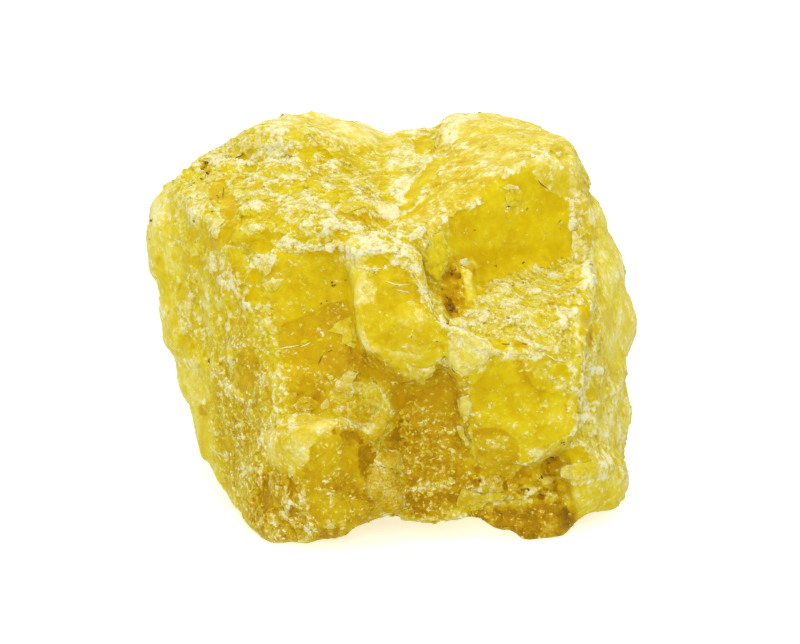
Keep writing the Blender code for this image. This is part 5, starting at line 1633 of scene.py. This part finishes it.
    milky = total(times(veil, 0.5), times(mottle, 0.3), times(cloud, 0.25), times(slabTone, 0.08))
    milky = total(milky, times(hackle, calm, 0.16), times(fibres, strata, 0.4))
    scaly = total(times(chipTone, 0.2), times(crumbTone, 0.24), times(scaleTone, 0.12), times(scaleShade, 0.14))
    powder = times(crust, total(times(thick, 0.26), times(lace, 0.3), 0.05))
    rough = times(less(calm), less(times(streak, 0.6)))
    fine = total(times(grain, total(times(grit, rough, 1.2), times(grit, 0.3), times(rough, 0.5), 0.15)), times(lace, rough, 0.6))
    # the rim term paints convex rims paler: partly crushed wear, partly painted edge highlight
    paleness = total(milky, times(bruise, total(scaly, 0.26)), powder, fine, times(rim, less(times(calm, 0.65)), 0.36), times(speck, 0.44))
    paleness = total(paleness, times(veins, 0.16), times(edges, 0.16))
    paleness = calc("ADD", paleness, times(cracks, -0.2), clamp=True)

    ramp = addNode(tree, "ShaderNodeValToRGB", {0: paleness})
    stops = ramp.color_ramp.elements
    stops[0].color = toLinear(sulfur["deep"])
    stops[1].color = toLinear(sulfur["powder"])
    stops.new(0.35).color = toLinear(sulfur["mid"])
    stops.new(0.62).color = toLinear(sulfur["pale"])
    # painted shade: the amber attribute makes the colour deeper and browner in hollows, under overhangs and low down,
    # along with random mottling
    deeper = total(amberAndShade, times(between(mottle, 0.12, -0.16), 0.22), times(between(cloud, 0.1, -0.15), 0.10))
    brownedAndShaded = total(times(deeper, less(times(paleness, 1.1))), times(cracks, 0.3))
    colour = tinted(times(brownedAndShaded, 1.3), ramp.outputs[0], sulfur["amberAndShade"])
    colour = tinted(times(total(brownedAndShaded, -0.7), 1.8), colour, sulfur["umber"])

    broken = times(total(times(bruise, 0.9), times(grit, 0.5), 0.1), less(times(calm, 0.85)))
    heights = times(total(facets(chipCells, onTop, 0.4), facets(crumbCells, pulled, 0.4)), broken)
    heights = total(heights, times(crust, 0.02), times(speck, 0.03), times(cracks, -0.1))
    heights = total(heights, times(grain, total(times(grit, 0.10), times(rough, 0.08), 0.01)), times(lace, rough, 0.08))
    heights = total(heights, times(hackle, calm, 0.03))
    bump = addNode(tree, "ShaderNodeBump", {"Height": heights, "Strength": 0.9, "Distance": mm})
    tree.links.new(bump.outputs[0], surface.inputs["Normal"])
    tree.links.new(colour, surface.inputs["Base Color"])
    scattered = total(0.64, times(bruise, -0.2), times(crust, -0.14))
    loose = addNode(tree, "ShaderNodeAttribute", attribute_name="loose").outputs["Fac"]
    tree.links.new(times(scattered, less(loose)), surface.inputs["Subsurface Weight"])
    surface.inputs["Subsurface Radius"].default_value = sulfur["scatter"]
    surface.inputs["Subsurface Scale"].default_value = sulfur["scatterDepth"] * mm
    tree.links.new(total(sulfur["roughness"], times(paleness, 0.4)), surface.inputs["Roughness"])
    surface.inputs["Specular IOR Level"].default_value = 0.07
    # fine dust on it catches the light along the edges
    surface.inputs["Sheen Weight"].default_value = sulfur["dust"]
    surface.inputs["Sheen Roughness"].default_value = 0.6
    surface.inputs["Sheen Tint"].default_value = toLinear(sulfur["powder"])
    return material


# Dark brown bituminous matter caught in the sulfur: matt, from rust brown to nearly black.
bitumen = {"rust": "#8A5C18", "black": "#2E1E0A", "patchSize": 0.4, "roughness": 0.7}


def makeBitumen():
    material = bpy.data.materials.new("bituminousInclusion")
    material.use_nodes = True
    tree = material.node_tree
    surface = tree.nodes["Principled BSDF"]
    place = addNode(tree, "ShaderNodeTexCoord").outputs["Object"]
    inputs = {"Vector": place, "Scale": 1.0 / (bitumen["patchSize"] * mm), "Detail": 3.0}
    patch = addNode(tree, "ShaderNodeTexNoise", inputs).outputs["Fac"]
    colour = {0: patch, 6: toLinear(bitumen["black"]), 7: toLinear(bitumen["rust"])}
    colour = addNode(tree, "ShaderNodeMix", colour, data_type="RGBA").outputs[2]
    tree.links.new(colour, surface.inputs["Base Color"])
    surface.inputs["Roughness"].default_value = bitumen["roughness"]
    return material


makeCamera()
makeStudio()
print("camera and studio are set")
sulfurMaterial = makeSulfur()
bitumenMaterial = makeBitumen()
lump, level = makeLump(sulfurMaterial)
makeScatter(lump.data, level, sulfurMaterial)
lumpTree = BVHTree.FromObject(lump, bpy.context.evaluated_depsgraph_get())
makePlates(lumpTree, sulfurMaterial)
layThreads(lumpTree, "paleThreads", sulfurMaterial)
layThreads(lumpTree, "darkSlits", bitumenMaterial)
makeGrains(lumpTree, "darkGrains", grains, grainDraw, bitumenMaterial)
makeGrains(lumpTree, "paleBits", paleBits, bitDraw, sulfurMaterial)
